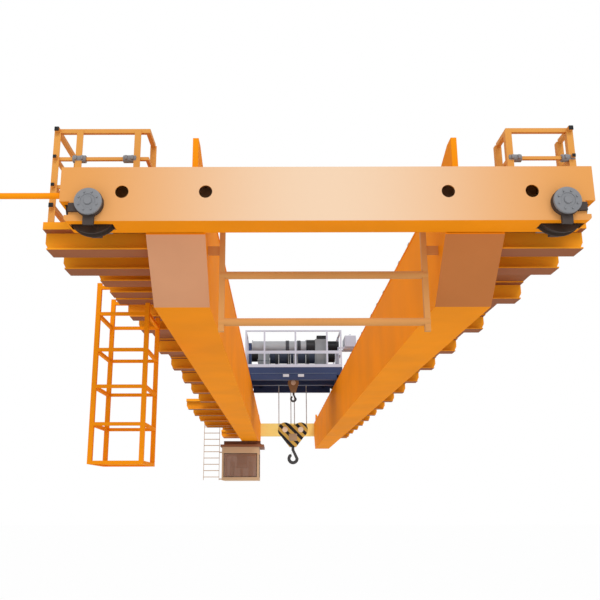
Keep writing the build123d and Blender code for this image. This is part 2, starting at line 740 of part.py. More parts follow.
# Operator's cab: thin-walled box under a flat roof, glazed on four sides, doorway to the ladder
cab_left = -CAB_LEFT
cab_right = cab_left + CAB_WIDTH
cab_back = CAB_Y + CAB_LENGTH
cab_low = CAB_TOP - CAB_HEIGHT
eaves = CAB_TOP - CAB_ROOF
window_top = eaves - CAB_HEADER
window_low = cab_low + CAB_SILL
door_start = CAB_Y + CAB_DOOR_INSET
door_end = door_start + CAB_DOOR_WIDTH
pane_in = (CAB_WALL - CAB_GLASS) / 2
pane_out = pane_in + CAB_GLASS
window_left = cab_left + CAB_PILLAR
window_right = cab_right - CAB_PILLAR
side_start = CAB_Y + CAB_PILLAR
side_end = cab_back - CAB_PILLAR
door_window = door_end + CAB_PILLAR
with BuildPart() as cab:
    block((cab_left, CAB_Y, cab_low), (cab_right, cab_back, eaves))
    inner_low = (cab_left + CAB_WALL, CAB_Y + CAB_WALL, cab_low + CAB_WALL)
    block(inner_low, (cab_right - CAB_WALL, cab_back - CAB_WALL, eaves), Mode.SUBTRACT)
    block(
        (cab_left - CAB_ROOF_LIP, CAB_Y - CAB_ROOF_LIP, eaves),
        (cab_right + CAB_INNER_LIP, cab_back + CAB_ROOF_LIP, CAB_TOP),
    )
    for low, high in (
        ((window_left, CAB_Y, window_low), (window_right, CAB_Y + CAB_WALL, window_top)),
        ((window_left, cab_back, window_low), (window_right, cab_back - CAB_WALL, window_top)),
        ((cab_right, side_start, window_low), (cab_right - CAB_WALL, side_end, window_top)),
        ((cab_left, door_window, window_low), (cab_left + CAB_WALL, side_end, window_top)),
        ((cab_left, door_start, cab_low + CAB_WALL), (cab_left + CAB_WALL, door_end, window_top)),
    ):
        block(low, high, Mode.SUBTRACT)
save(cab, "cab_shell")

with BuildPart() as panes:
    block((window_left, CAB_Y + pane_in, window_low), (window_right, CAB_Y + pane_out, window_top))
    block((window_left, cab_back - pane_in, window_low), (window_right, cab_back - pane_out, window_top))
    block((cab_right - pane_in, side_start, window_low), (cab_right - pane_out, side_end, window_top))
    block((cab_left + pane_in, door_window, window_low), (cab_left + pane_out, side_end, window_top))
save(panes, "cab_windows")

# Cab hanger: two I-beams between the girder's bottom flange and the cab's roof
with BuildPart() as hanger:
    beam_left = cab_left + HANGER_OVERHANG
    beam_right = cab_right + HANGER_OVERHANG
    for y in (CAB_Y + HANGER_INSET, cab_back - HANGER_INSET):
        front = y - HANGER_BEAM / 2
        back = y + HANGER_BEAM / 2
        block((beam_left, front, CAB_TOP), (beam_right, back, CAB_TOP + HANGER_PLATE))
        block((beam_left, front, GIRDER_BOTTOM - HANGER_PLATE), (beam_right, back, GIRDER_BOTTOM))
        web = HANGER_PLATE / 2
        block((beam_left, y - web, CAB_TOP), (beam_right, y + web, GIRDER_BOTTOM))
save(hanger, "cab_hanger")

# Cab ladder: from the walkway's wide end down beside the doorway, tied to the cab's wall
with BuildPart() as ladder:
    ladder_right = cab_left - LADDER_GAP
    ladder_left = ladder_right - LADDER_WIDTH
    ladder_back = CAB_WALK_END + LADDER_STILE
    middle_y = CAB_WALK_END + LADDER_STILE / 2
    for stile in (ladder_left, ladder_right - LADDER_STILE_PLATE):
        block((stile, CAB_WALK_END, cab_low), (stile + LADDER_STILE_PLATE, ladder_back, DECK_TOP))
    rung_count = int((DECK_TOP - cab_low) / LADDER_PITCH)
    for rung in range(rung_count):
        z = cab_low + (rung + 1 / 2) * LADDER_PITCH
        bar((ladder_left, middle_y, z), (ladder_right, middle_y, z), LADDER_RUNG)
    for z in (window_top + LADDER_TIE, cab_low + LADDER_TIE):
        tie_plate = LADDER_STILE_PLATE / 2
        block((ladder_right, middle_y - tie_plate, z - LADDER_TIE / 2), (cab_left, middle_y + tie_plate, z + LADDER_TIE / 2))
save(ladder, "cab_ladder")

# Buffers at three carriage corners, and the limit arm at the fourth
with BuildPart() as buffers:
    for end, y in ((1, 0), (-1, SPAN), (1, SPAN)):
        face = end * CARRIAGE_END
        rod((face, y, BUFFER_HEIGHT), (face + end * BUFFER_CUP, y, BUFFER_HEIGHT), BUFFER_DIAMETER)
        rod((face, y, BUFFER_HEIGHT), (face + end * BUFFER_LENGTH, y, BUFFER_HEIGHT), BUFFER_RUBBER)
save(buffers, "carriage_buffers")

with BuildPart() as arm:
    plate_low = (-CARRIAGE_END, -ARM_PLATE / 2, BUFFER_HEIGHT - ARM_PLATE / 2)
    plate_high = (-CARRIAGE_END - ARM_PLATE_DEPTH, ARM_PLATE / 2, BUFFER_HEIGHT + ARM_PLATE / 2)
    block(plate_low, plate_high)
    rod((-CARRIAGE_END, 0, BUFFER_HEIGHT), (-ARM_REACH, 0, BUFFER_HEIGHT), ARM_DIAMETER)
    rod((-ARM_REACH, 0, BUFFER_HEIGHT), (-ARM_REACH - ARM_PLATE_DEPTH, 0, BUFFER_HEIGHT), ARM_CAP)
save(arm, "limit_arm")

# Travel drives: a gearbox and motor on the inner bearing box of each wheel
with BuildPart() as drives:
    for start, inward in ((0, 1), (SPAN, -1)):
        face = start + inward * (CARRIAGE_FACE + BEARING_BOX_DEPTH + BEARING_COVER_DEPTH)
        back = face + inward * GEARBOX_DEPTH
        low = WHEEL_AXIS - GEARBOX_DROP
        for x in (-WHEEL_X, WHEEL_X):
            half = GEARBOX_WIDTH / 2
            block((x - half, face, low), (x + half, back, low + GEARBOX_HEIGHT))
            motor_end = back + inward * DRIVE_MOTOR_LENGTH
            rod((x, back, DRIVE_MOTOR_HEIGHT), (x, motor_end, DRIVE_MOTOR_HEIGHT), DRIVE_MOTOR)
save(drives, "travel_drives")

# Trolley frame: hollow side beams over the rails, three cross beams, bosses for the axles
side_low = TROLLEY_TOP - SIDE_BEAM_HEIGHT
trolley_wheel_ys = (TROLLEY_Y + TROLLEY_WHEEL_INSET, TROLLEY_END - TROLLEY_WHEEL_INSET)
trolley_wheel_full = TROLLEY_TREAD_WIDTH + 2 * TROLLEY_FLANGE_WIDTH
with BuildPart() as trolley:
    for side in (-1, 1):
        inner = side * SIDE_BEAM_INNER
        outer = side * SIDE_BEAM_OUTER
        plate = side * TROLLEY_PLATE
        block((inner, TROLLEY_Y, side_low), (outer, TROLLEY_END, TROLLEY_TOP))
        for y in trolley_wheel_ys:
            boss = side * TROLLEY_BOSS_DEPTH
            rod((inner - boss, y, TROLLEY_AXLE_Z), (outer + boss, y, TROLLEY_AXLE_Z), 2 * TROLLEY_AXLE)
        block(
            (inner + plate, TROLLEY_Y + TROLLEY_PLATE, side_low + TROLLEY_PLATE),
            (outer - plate, TROLLEY_END - TROLLEY_PLATE, TROLLEY_TOP - TROLLEY_PLATE),
            Mode.SUBTRACT,
        )
        for y in trolley_wheel_ys:
            slot = TROLLEY_WHEEL_FLANGE / 2 + TROLLEY_PLATE
            slot_half = trolley_wheel_full / 2 + TROLLEY_PLATE
            low = (side * RAIL_X - slot_half, y - slot, side_low - TROLLEY_PLATE)
            block(low, (side * RAIL_X + slot_half, y + slot, side_low + 2 * TROLLEY_PLATE), Mode.SUBTRACT)
            bore = side * (TROLLEY_BOSS_DEPTH - TROLLEY_BOSS_WALL)
            bore_size = TROLLEY_AXLE + 2 * AXLE_GAP
            rod((inner - bore, y, TROLLEY_AXLE_Z), (outer + bore, y, TROLLEY_AXLE_Z), bore_size, Mode.SUBTRACT)
    for y, width in (
        (TROLLEY_Y, END_BEAM_WIDTH),
        (MIDDLE_BEAM_Y, MIDDLE_BEAM_WIDTH),
        (TROLLEY_END - END_BEAM_WIDTH, END_BEAM_WIDTH),
    ):
        low = (-SIDE_BEAM_INNER, y, CROSS_BEAM_BOTTOM)
        block(low, (SIDE_BEAM_INNER, y + width, TROLLEY_TOP))
        hollow_low = [a + TROLLEY_PLATE for a in low]
        hollow_high = (SIDE_BEAM_INNER - TROLLEY_PLATE, y + width - TROLLEY_PLATE, TROLLEY_TOP - TROLLEY_PLATE)
        block(hollow_low, hollow_high, Mode.SUBTRACT)
        # A round hole near each end of the web that faces away
        beam_middle = (CROSS_BEAM_BOTTOM + TROLLEY_TOP) / 2
        for side in (-1, 1):
            x = side * (SIDE_BEAM_INNER - 2 * BEAM_HOLE)
            web_y = y + width if y < MIDDLE_BEAM_Y + 1 else y
            rod((x, web_y - 2 * TROLLEY_PLATE, beam_middle), (x, web_y + 2 * TROLLEY_PLATE, beam_middle), BEAM_HOLE, Mode.SUBTRACT)
save(trolley, "trolley_frame")

trolley_axle_half = SIDE_BEAM_WIDTH / 2 + TROLLEY_BOSS_DEPTH - TROLLEY_BOSS_WALL - AXLE_END_GAP
for end_name, y in (("front", trolley_wheel_ys[0]), ("rear", trolley_wheel_ys[1])):
    for side_name, side in (("left", -1), ("right", 1)):
        flanged_wheel(
            f"trolley_{end_name}_{side_name}_wheel",
            (side * RAIL_X, y, TROLLEY_AXLE_Z),
            (1, 0, 0),
            TROLLEY_WHEEL_TREAD,
            TROLLEY_WHEEL_FLANGE,
            TROLLEY_TREAD_WIDTH,
            TROLLEY_FLANGE_WIDTH,
            TROLLEY_AXLE,
            trolley_axle_half,
        )

# Trolley floor: seven plates laid from beam to beam, round an opening for each hoist's ropes
main_falls = (-MAIN_SHEAVE_X - MAIN_ROPE_PITCH, MAIN_SHEAVE_X + MAIN_ROPE_PITCH)
aux_falls = (-AUX_ROPE_PITCH, AUX_ROPE_PITCH)
main_half = main_falls[1] + MAIN_BLOCK_THICK / 2
main_front = MAIN_HOOK_Y - MAIN_BLOCK_THICK / 2
main_back = MAIN_HOOK_Y + MAIN_BLOCK_THICK / 2
aux_half = aux_falls[1] + AUX_BLOCK_THICK / 2
aux_front = AUX_HOOK_Y - AUX_BLOCK_THICK / 2
aux_back = AUX_HOOK_Y + AUX_BLOCK_THICK / 2
with BuildPart() as floor:
    for left, right, front, back in (
        (-SIDE_BEAM_OUTER, -main_half - PLATE_GAP, TROLLEY_Y, TROLLEY_END),
        (main_half + PLATE_GAP, SIDE_BEAM_OUTER, TROLLEY_Y, TROLLEY_END),
        (-main_half, -aux_half - PLATE_GAP, TROLLEY_Y, main_front),
        (aux_half + PLATE_GAP, main_half, TROLLEY_Y, main_front),
        (-aux_half, aux_half, TROLLEY_Y, aux_front),
        (-aux_half, aux_half, aux_back, main_front),
        (-main_half, main_half, main_back, TROLLEY_END),
    ):
        block((left, front, TROLLEY_TOP), (right, back, FLOOR_TOP))
save(floor, "trolley_floor")

# Trolley railing: kick plate, middle plate and top tube all round, on square posts
with BuildPart() as trolley_rail:
    top = FLOOR_TOP + TROLLEY_RAILING
    post = TROLLEY_POST
    for low, high, depth in (
        (FLOOR_TOP, FLOOR_TOP + TROLLEY_KICK, RAILING_PLATE),
        (TROLLEY_MID_Z - TROLLEY_MID_RAIL / 2, TROLLEY_MID_Z + TROLLEY_MID_RAIL / 2, RAILING_PLATE),
        (top - TROLLEY_TOP_RAIL, top, TROLLEY_TOP_RAIL),
    ):
        block((-SIDE_BEAM_OUTER, TROLLEY_Y, low), (SIDE_BEAM_OUTER, TROLLEY_Y + depth, high))
        block((-SIDE_BEAM_OUTER, TROLLEY_END, low), (SIDE_BEAM_OUTER, TROLLEY_END - depth, high))
        block((-SIDE_BEAM_OUTER, TROLLEY_Y, low), (-SIDE_BEAM_OUTER + depth, TROLLEY_END, high))
        block((SIDE_BEAM_OUTER, TROLLEY_Y, low), (SIDE_BEAM_OUTER - depth, TROLLEY_END, high))
    for y in (TROLLEY_Y, TROLLEY_END - post):
        for x in (-SIDE_BEAM_OUTER, *TROLLEY_FRONT_POSTS, SIDE_BEAM_OUTER - post):
            block((x, y, FLOOR_TOP), (x + post, y + post, top))
    for y in TROLLEY_SIDE_POSTS:
        block((-SIDE_BEAM_OUTER, y, FLOOR_TOP), (-SIDE_BEAM_OUTER + post, y + post, top))
        block((SIDE_BEAM_OUTER, y, FLOOR_TOP), (SIDE_BEAM_OUTER - post, y + post, top))
save(trolley_rail, "trolley_railing")

# Hoist drums with their rims and shafts
for name, y, left, right, diameter in (
    ("aux_drum", AUX_DRUM_Y, AUX_DRUM_LEFT, AUX_DRUM_RIGHT, AUX_DRUM_DIAMETER),
    ("main_drum", MAIN_DRUM_Y, MAIN_DRUM_LEFT, MAIN_DRUM_RIGHT, MAIN_DRUM_DIAMETER),
):
    with BuildPart() as drum:
        rod((left, y, DRUM_AXIS), (right, y, DRUM_AXIS), diameter)
        rod((left, y, DRUM_AXIS), (left + DRUM_RIM_WIDTH, y, DRUM_AXIS), diameter + DRUM_RIM)
        rod((right - DRUM_RIM_WIDTH, y, DRUM_AXIS), (right, y, DRUM_AXIS), diameter + DRUM_RIM)
        rod((left - DRUM_SHAFT_OUT, y, DRUM_AXIS), (right + DRUM_SHAFT_OUT, y, DRUM_AXIS), DRUM_SHAFT)
    save(drum, name)

# Drum stands: tapered pedestals with a bearing bore, one beside each drum
shaft_bore = DRUM_SHAFT + 2 * AXLE_GAP
with BuildPart() as stands:
    for x, y in (
        (AUX_DRUM_LEFT - STAND_GAP - STAND_WIDTH, AUX_DRUM_Y),
        (MAIN_DRUM_RIGHT + STAND_GAP, MAIN_DRUM_Y),
    ):
        with BuildSketch(Plane.YZ.offset(x)):
            with BuildLine():
                Polyline(
                    (y - STAND_FOOT / 2, FLOOR_TOP),
                    (y + STAND_FOOT / 2, FLOOR_TOP),
                    (y + STAND_HEAD / 2, DRUM_AXIS),
                    (y - STAND_HEAD / 2, DRUM_AXIS),
                    close=True,
                )
            make_face()
            with Locations((y, DRUM_AXIS)):
                Circle(STAND_HEAD / 2)
        extrude(amount=STAND_WIDTH)
        rod((x, y, DRUM_AXIS), (x + STAND_WIDTH, y, DRUM_AXIS), shaft_bore, Mode.SUBTRACT)
save(stands, "drum_stands")

# Hoist gearboxes: standing on the floor at each drum's driven end, bored for its shaft
aux_face = AUX_DRUM_RIGHT + STAND_GAP
main_face = MAIN_DRUM_LEFT - STAND_GAP
bore_depth = DRUM_SHAFT_OUT - STAND_GAP + AXLE_END_GAP
with BuildPart() as gearboxes:
    rod((aux_face, AUX_DRUM_Y, DRUM_AXIS), (AUX_DISC_END, AUX_DRUM_Y, DRUM_AXIS), AUX_DISC_DIAMETER)
    low = (AUX_DISC_END, AUX_DRUM_Y - AUX_GEARBOX_HALF, FLOOR_TOP)
    block(low, (AUX_GEARBOX_END, AUX_DRUM_Y + AUX_GEARBOX_HALF, DRUM_AXIS + AUX_GEARBOX_RISE))
    terminal_half = AUX_GEARBOX_HALF * 2 / 3
    terminal_low = (AUX_DISC_END + AUX_TERMINAL_INSET, AUX_DRUM_Y - terminal_half, DRUM_AXIS)
    block(terminal_low, (AUX_GEARBOX_END, AUX_DRUM_Y + terminal_half, DRUM_AXIS + AUX_TERMINAL_RISE))
    low = (MAIN_GEARBOX_LEFT, MAIN_DRUM_Y - MAIN_GEARBOX_HALF, FLOOR_TOP)
    block(low, (main_face, MAIN_DRUM_Y + MAIN_GEARBOX_HALF, DRUM_AXIS + MAIN_GEARBOX_RISE))
    rod((aux_face, AUX_DRUM_Y, DRUM_AXIS), (aux_face + bore_depth, AUX_DRUM_Y, DRUM_AXIS), shaft_bore, Mode.SUBTRACT)
    rod((main_face, MAIN_DRUM_Y, DRUM_AXIS), (main_face - bore_depth, MAIN_DRUM_Y, DRUM_AXIS), shaft_bore, Mode.SUBTRACT)
save(gearboxes, "hoist_gearboxes")

# Hoist motors outboard of the gearboxes, and the main drum's brake outboard of its stand
brake_start = MAIN_DRUM_RIGHT + STAND_GAP + STAND_WIDTH
with BuildPart() as motors:
    rod((AUX_GEARBOX_END, AUX_DRUM_Y, DRUM_AXIS), (MOTOR_END, AUX_DRUM_Y, DRUM_AXIS), AUX_MOTOR)
    rod((MAIN_GEARBOX_LEFT, MAIN_DRUM_Y, DRUM_AXIS), (-MOTOR_END, MAIN_DRUM_Y, DRUM_AXIS), MAIN_MOTOR)
    rod((brake_start, MAIN_DRUM_Y, DRUM_AXIS), (MOTOR_END, MAIN_DRUM_Y, DRUM_AXIS), MAIN_BRAKE)
save(motors, "hoist_motors")

# Electrical box on two arms that reach out over the trolley's railing from uprights
with BuildPart() as panel:
    block((PANEL_INNER, PANEL_START, PANEL_BOTTOM), (PANEL_OUTER, PANEL_START + PANEL_LENGTH, PANEL_BOTTOM + PANEL_HEIGHT))
    for y in PANEL_ARM_PLACES:
        block((PANEL_UPRIGHT, y, PANEL_BOTTOM - PANEL_ARM), (PANEL_OUTER, y + PANEL_ARM, PANEL_BOTTOM))
        block((PANEL_UPRIGHT, y, FLOOR_TOP), (PANEL_UPRIGHT + PANEL_ARM, y + PANEL_ARM, PANEL_BOTTOM))
save(panel, "electrical_box")

# Ropes: straight falls from the drums' sides down to the block's sheaves
with BuildPart() as main_ropes:
    for x in (-MAIN_SHEAVE_X, MAIN_SHEAVE_X):
        for fall in (x - MAIN_ROPE_PITCH, x + MAIN_ROPE_PITCH):
            rod((fall, MAIN_HOOK_Y, MAIN_PIN_Z), (fall, MAIN_HOOK_Y, DRUM_AXIS), MAIN_ROPE)
save(main_ropes, "main_ropes")

with BuildPart() as aux_ropes:
    for fall in aux_falls:
        rod((fall, AUX_HOOK_Y, AUX_PIN_Z), (fall, AUX_HOOK_Y, DRUM_AXIS), AUX_ROPE)
save(aux_ropes, "aux_ropes")


# Hook blocks: sheaves on pins between two cheek plates, over a crosshead bored for the shank
def sheave(centre, diameter, pitch, rope, pin, hub_half):
    """A grooved sheave fixed on its pin, in the part being built."""
    base = pitch - rope / 2 - ROPE_GAP
    rim_half = rope * 5 / 4
    with BuildSketch(Plane(origin=centre, x_dir=(0, 1, 0), z_dir=(1, 0, 0))) as section:
        with BuildLine():
            Polyline(
                (0, 0),
                (hub_half, 0),
                (hub_half, pin / 2),
                (rim_half, pin / 2),
                (rim_half, diameter / 2),
                (rope * 2 / 3, base),
                (0, base),
                close=True,
            )
        make_face()
        mirror(about=Plane.YZ)
    revolve(section.sketch, axis=Axis(centre, (0, 1, 0)))


def cheeks(y, thick, outline, lobes, radius, pin_z):
    """Front and rear cheek plates from a polygon and round lobes, in the part being built."""
    for face in (-1, 1):
        with BuildSketch(Plane.XZ.offset(-y - face * thick / 2)) as plate:
            with BuildLine():
                Polyline(*outline, close=True)
            make_face()
            with Locations(*[(x, pin_z) for x in lobes]):
                Circle(radius)
        extrude(plate.sketch, amount=face * CHEEK_PLATE)


with BuildPart() as main_block:
    lobe = MAIN_SHEAVE / 2 + MAIN_CHEEK_MARGIN
    crosshead_low = MAIN_CROSSHEAD_TOP - MAIN_CROSSHEAD_HEIGHT
    shoulder = MAIN_SHEAVE_X + lobe * 0.9
    foot = MAIN_CROSSHEAD_WIDTH / 2
    v_outline = [
        (0, MAIN_DIP_Z),
        (MAIN_SHEAVE_X, MAIN_PIN_Z + lobe * 0.9),
        (shoulder, MAIN_PIN_Z - lobe * 0.4),
        (foot, crosshead_low),
        (-foot, crosshead_low),
        (-shoulder, MAIN_PIN_Z - lobe * 0.4),
        (-MAIN_SHEAVE_X, MAIN_PIN_Z + lobe * 0.9),
    ]
    sheave_xs = (-MAIN_SHEAVE_X, MAIN_SHEAVE_X)
    cheeks(MAIN_HOOK_Y, MAIN_BLOCK_THICK, v_outline, sheave_xs, lobe, MAIN_PIN_Z)
    for x in sheave_xs:
        centre = (x, MAIN_HOOK_Y, MAIN_PIN_Z)
        sheave(centre, MAIN_SHEAVE, MAIN_ROPE_PITCH, MAIN_ROPE, PIN_DIAMETER, MAIN_BLOCK_THICK / 2)
    half = MAIN_BLOCK_THICK / 2
    block((-foot, MAIN_HOOK_Y - half, crosshead_low), (foot, MAIN_HOOK_Y + half, MAIN_CROSSHEAD_TOP))
    bore_low = (0, MAIN_HOOK_Y, crosshead_low)
    rod(bore_low, (0, MAIN_HOOK_Y, MAIN_CROSSHEAD_TOP), MAIN_SHANK + 2 * SHANK_GAP, Mode.SUBTRACT)
save(main_block, "main_block")

with BuildPart() as aux_block:
    lobe = AUX_SHEAVE / 2 + AUX_CHEEK_MARGIN
    crosshead_low = AUX_CROSSHEAD_TOP - AUX_CROSSHEAD_HEIGHT
    foot = AUX_CROSSHEAD_WIDTH / 2
    u_outline = [
        (lobe, AUX_PIN_Z),
        (foot, crosshead_low),
        (-foot, crosshead_low),
        (-lobe, AUX_PIN_Z),
    ]
    cheeks(AUX_HOOK_Y, AUX_BLOCK_THICK, u_outline, (0,), lobe, AUX_PIN_Z)
    centre = (0, AUX_HOOK_Y, AUX_PIN_Z)
    sheave(centre, AUX_SHEAVE, AUX_ROPE_PITCH, AUX_ROPE, AUX_PIN_DIAMETER, AUX_BLOCK_THICK / 2)
    half = AUX_BLOCK_THICK / 2
    block((-foot, AUX_HOOK_Y - half, crosshead_low), (foot, AUX_HOOK_Y + half, AUX_CROSSHEAD_TOP))
    bore_low = (0, AUX_HOOK_Y, crosshead_low)
    rod(bore_low, (0, AUX_HOOK_Y, AUX_CROSSHEAD_TOP), AUX_SHANK + 2 * SHANK_GAP, Mode.SUBTRACT)
save(aux_block, "aux_block")


# Hooks: a shank held in the crosshead by its nut, over a forged hook that opens to the left
def hook(name, y, crosshead_top, crosshead_height, shank, nut, nut_height, radius, bend, drop):
    """One hook; drop is from the crosshead's underside to the bowl's centre."""
    low = crosshead_top - crosshead_height
    bowl = low - drop
    far = 3 * bend
    tip = (bend * cos(radians(HOOK_ARC)), bowl - bend * sin(radians(HOOK_ARC)))
    with BuildPart() as piece:
        # Side view: most of a ring, a rounded tip and a neck that leans back to the shank
        with BuildSketch(Plane.XZ.offset(-y)) as outline:
            with Locations((0, bowl)):
                Circle(bend + radius)
                Circle(bend - radius, mode=Mode.SUBTRACT)
            with BuildLine():
                Polyline((0, bowl), (far, bowl), (far, bowl + far), (-far, bowl + far), close=True)
            make_face(mode=Mode.SUBTRACT)
            with Locations(tip):
                Circle(radius * HOOK_TIP)
            with BuildLine():
                Polyline(
                    (bend - radius, bowl),
                    (bend + radius, bowl),
                    (shank / 2, low - shank),
                    (-shank / 2, low - shank),
                    close=True,
                )
            make_face()
        extrude(outline.sketch, amount=radius * HOOK_FLAT, both=True)
        faces = piece.faces().filter_by(Axis.Y)
        chamfer(faces.edges(), radius * HOOK_CHAMFER)
        rod((0, y, low - shank * 5 / 4), (0, y, crosshead_top + nut_height), shank)
        rod((0, y, crosshead_top + NUT_GAP), (0, y, crosshead_top + nut_height), nut)
    save(piece, name)


hook(
    "main_hook",
    MAIN_HOOK_Y,
    MAIN_CROSSHEAD_TOP,
    MAIN_CROSSHEAD_HEIGHT,
    MAIN_SHANK,
    MAIN_NUT,
    MAIN_NUT_HEIGHT,
    MAIN_HOOK_RADIUS,
    MAIN_HOOK_BEND,
    MAIN_HOOK_DROP,
)
hook(
    "aux_hook",
    AUX_HOOK_Y,
    AUX_CROSSHEAD_TOP,
    AUX_CROSSHEAD_HEIGHT,
    AUX_SHANK,
    AUX_NUT,
    AUX_NUT_HEIGHT,
    AUX_HOOK_RADIUS,
    AUX_HOOK_BEND,
    AUX_HOOK_DROP,
)
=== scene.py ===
import math

import bmesh
import bpy
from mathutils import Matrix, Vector


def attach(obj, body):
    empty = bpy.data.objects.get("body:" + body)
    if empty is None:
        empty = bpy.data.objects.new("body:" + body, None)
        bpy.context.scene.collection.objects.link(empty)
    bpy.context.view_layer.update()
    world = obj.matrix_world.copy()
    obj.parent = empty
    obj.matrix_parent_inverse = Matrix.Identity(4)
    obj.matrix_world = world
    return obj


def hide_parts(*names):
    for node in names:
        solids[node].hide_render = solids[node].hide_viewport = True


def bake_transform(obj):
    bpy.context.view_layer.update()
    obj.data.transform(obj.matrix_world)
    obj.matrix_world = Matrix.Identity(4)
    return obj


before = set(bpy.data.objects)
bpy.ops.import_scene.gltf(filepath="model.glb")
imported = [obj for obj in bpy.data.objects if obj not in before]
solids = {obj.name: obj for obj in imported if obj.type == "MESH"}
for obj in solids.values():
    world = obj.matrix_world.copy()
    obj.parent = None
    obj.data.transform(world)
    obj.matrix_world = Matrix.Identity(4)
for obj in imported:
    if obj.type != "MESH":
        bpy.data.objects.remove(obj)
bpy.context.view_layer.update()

# The crane comes in as the CAD's solids, already in place, in metres.
# The size of the bare solids is kept here.
bpy.ops.object.select_all(action="DESELECT")


# Girders, trolley end stops, cage and limit arm: mild steel plate, bar and tube, welded up.
# Shot-blasted, then sprayed with orange enamel; the coat is a little uneven,
# and duller where dust settles.
def enamel(name, colour, roughness, drift, grain=0.9, specular=0.2):
    paint = bpy.data.materials.new(name)
    paint.use_nodes = True
    tree = paint.node_tree
    shader = tree.nodes["Principled BSDF"]
    shader.inputs["Specular IOR Level"].default_value = specular
    place = tree.nodes.new("ShaderNodeTexCoord")
    cloud = tree.nodes.new("ShaderNodeTexNoise")
    cloud.inputs["Scale"].default_value = grain
    cloud.inputs["Detail"].default_value = 5.0
    tint = tree.nodes.new("ShaderNodeValToRGB")
    tint.color_ramp.elements[0].position = 0.35
    tint.color_ramp.elements[0].color = [c * (1 - drift) for c in colour] + [1]
    tint.color_ramp.elements[1].position = 0.65
    tint.color_ramp.elements[1].color = [min(1, c * (1 + drift)) for c in colour] + [1]
    sheen = tree.nodes.new("ShaderNodeMapRange")
    sheen.inputs["To Min"].default_value = roughness - 0.05
    sheen.inputs["To Max"].default_value = roughness + 0.08
    tree.links.new(place.outputs["Object"], cloud.inputs["Vector"])
    tree.links.new(cloud.outputs["Fac"], tint.inputs["Fac"])
    tree.links.new(cloud.outputs["Fac"], sheen.inputs["Value"])
    tree.links.new(tint.outputs["Color"], shader.inputs["Base Color"])
    tree.links.new(sheen.outputs["Result"], shader.inputs["Roughness"])
    return paint


def coat(node_names, paint):
    for node_name in node_names:
        finish = solids[node_name].data.materials
        finish.clear()
        finish.append(paint)


orange = enamel("orange_enamel", (0.88, 0.285, 0.006), 0.65, 0.05, specular=0.03)
coat(["left_girder", "right_girder", "trolley_end_stops", "inspection_cage", "limit_arm"], orange)


# Walkways: flanged brackets and plate decks in a brighter copy of the orange enamel, which paints light onto faces
# that sit in shade, and brown on their undersides, which is painted shade. The undersides are coloured face by face.
def second_coat(node_name, paint, covers):
    """Paints a solid's faces that pass the test, and leaves its mesh as it is."""
    mesh = solids[node_name].data
    mesh.materials.append(paint)
    for face in mesh.polygons:
        if covers(face):
            face.material_index = 1


def underneath(face):
    return face.normal.z < -0.5


walkway_lit_orange = enamel("walkway_lit_orange", (0.92, 0.36, 0.02), 0.65, 0.05, specular=0.03)
underside_painted_shade = enamel("underside_painted_shade", (0.30, 0.10, 0.035), 0.7, 0.08)
for walkway_name in ("left_walkway_deck", "left_walkway_brackets", "right_walkway_deck", "right_walkway_brackets"):
    coat([walkway_name], walkway_lit_orange)
    second_coat(walkway_name, underside_painted_shade, underneath)

# Platform railings: angle posts on the platforms' edges with square rails welded between,
# in a browner coat than the girders beside them.
railing_enamel = enamel("railing_enamel", (0.70, 0.32, 0.07), 0.6, 0.06, specular=0.1)
coat(["near_platform_railings", "far_platform_railings"], railing_enamel)

# Guard frame: two square posts lugged to the girders' inner webs, with two round tubes
# across, in a duller coat of the same enamel.
coat(["guard_frame"], enamel("guard_enamel", (0.62, 0.29, 0.09), 0.6, 0.05, specular=0.1))

# Haunch plates: each girder's sloping end plate carries painted light, a paler tone with a painted highlight on the
# left one and a darker tone with painted shade on the right one.
# The girder's own solid stays, and its sloping faces are coloured.
for girder_name, haunch_painted_light in (("left_girder", (0.66, 0.32, 0.17)), ("right_girder", (0.52, 0.18, 0.05))):
    haunch_light_paint = enamel(f"{girder_name}_haunch", haunch_painted_light, 0.6, 0.05, specular=0.1)
    second_coat(girder_name, haunch_light_paint, lambda face: abs(face.normal.y) > 0.5 and underneath(face))


# End carriages: welded boxes in the same enamel. The near one carries a painted highlight
# that pales it towards the middle of its length, and the far one is pale all over.
# The near one's underside is plain orange, without the painted highlight.
def highlight_ramp_enamel(name, ends, middle, half_length):
    paint = enamel(name, ends, 0.6, 0.05, specular=0.1)
    tree = paint.node_tree
    place = tree.nodes.new("ShaderNodeTexCoord")
    axes = tree.nodes.new("ShaderNodeSeparateXYZ")
    along = tree.nodes.new("ShaderNodeMapRange")
    along.inputs["From Min"].default_value = -half_length
    along.inputs["From Max"].default_value = half_length
    # Painted highlight: the ends' colour pales to the middle colour halfway along the carriage.
    highlight_ramp = tree.nodes.new("ShaderNodeValToRGB")
    highlight_ramp.color_ramp.interpolation = "EASE"
    highlight_ramp.color_ramp.elements[0].color = (*ends, 1)
    highlight_ramp.color_ramp.elements[1].color = (*ends, 1)
    highlight_ramp.color_ramp.elements.new(0.5).color = (*middle, 1)
    tree.links.new(place.outputs["Object"], axes.inputs["Vector"])
    tree.links.new(axes.outputs["X"], along.inputs["Value"])
    tree.links.new(along.outputs["Result"], highlight_ramp.inputs["Fac"])
    tree.links.new(highlight_ramp.outputs["Color"], tree.nodes["Principled BSDF"].inputs["Base Color"])
    return paint


carriage_half_length = 2.7
end_colour = (0.74, 0.33, 0.09)
painted_highlight_colour = (0.81, 0.59, 0.41)
coat(
    ["near_end_carriage"],
    highlight_ramp_enamel("near_carriage_painted_highlight", end_colour, painted_highlight_colour, carriage_half_length),
)
second_coat("near_end_carriage", orange, underneath)
coat(["far_end_carriage"], enamel("far_carriage_enamel", (0.86, 0.66, 0.20), 0.6, 0.05))


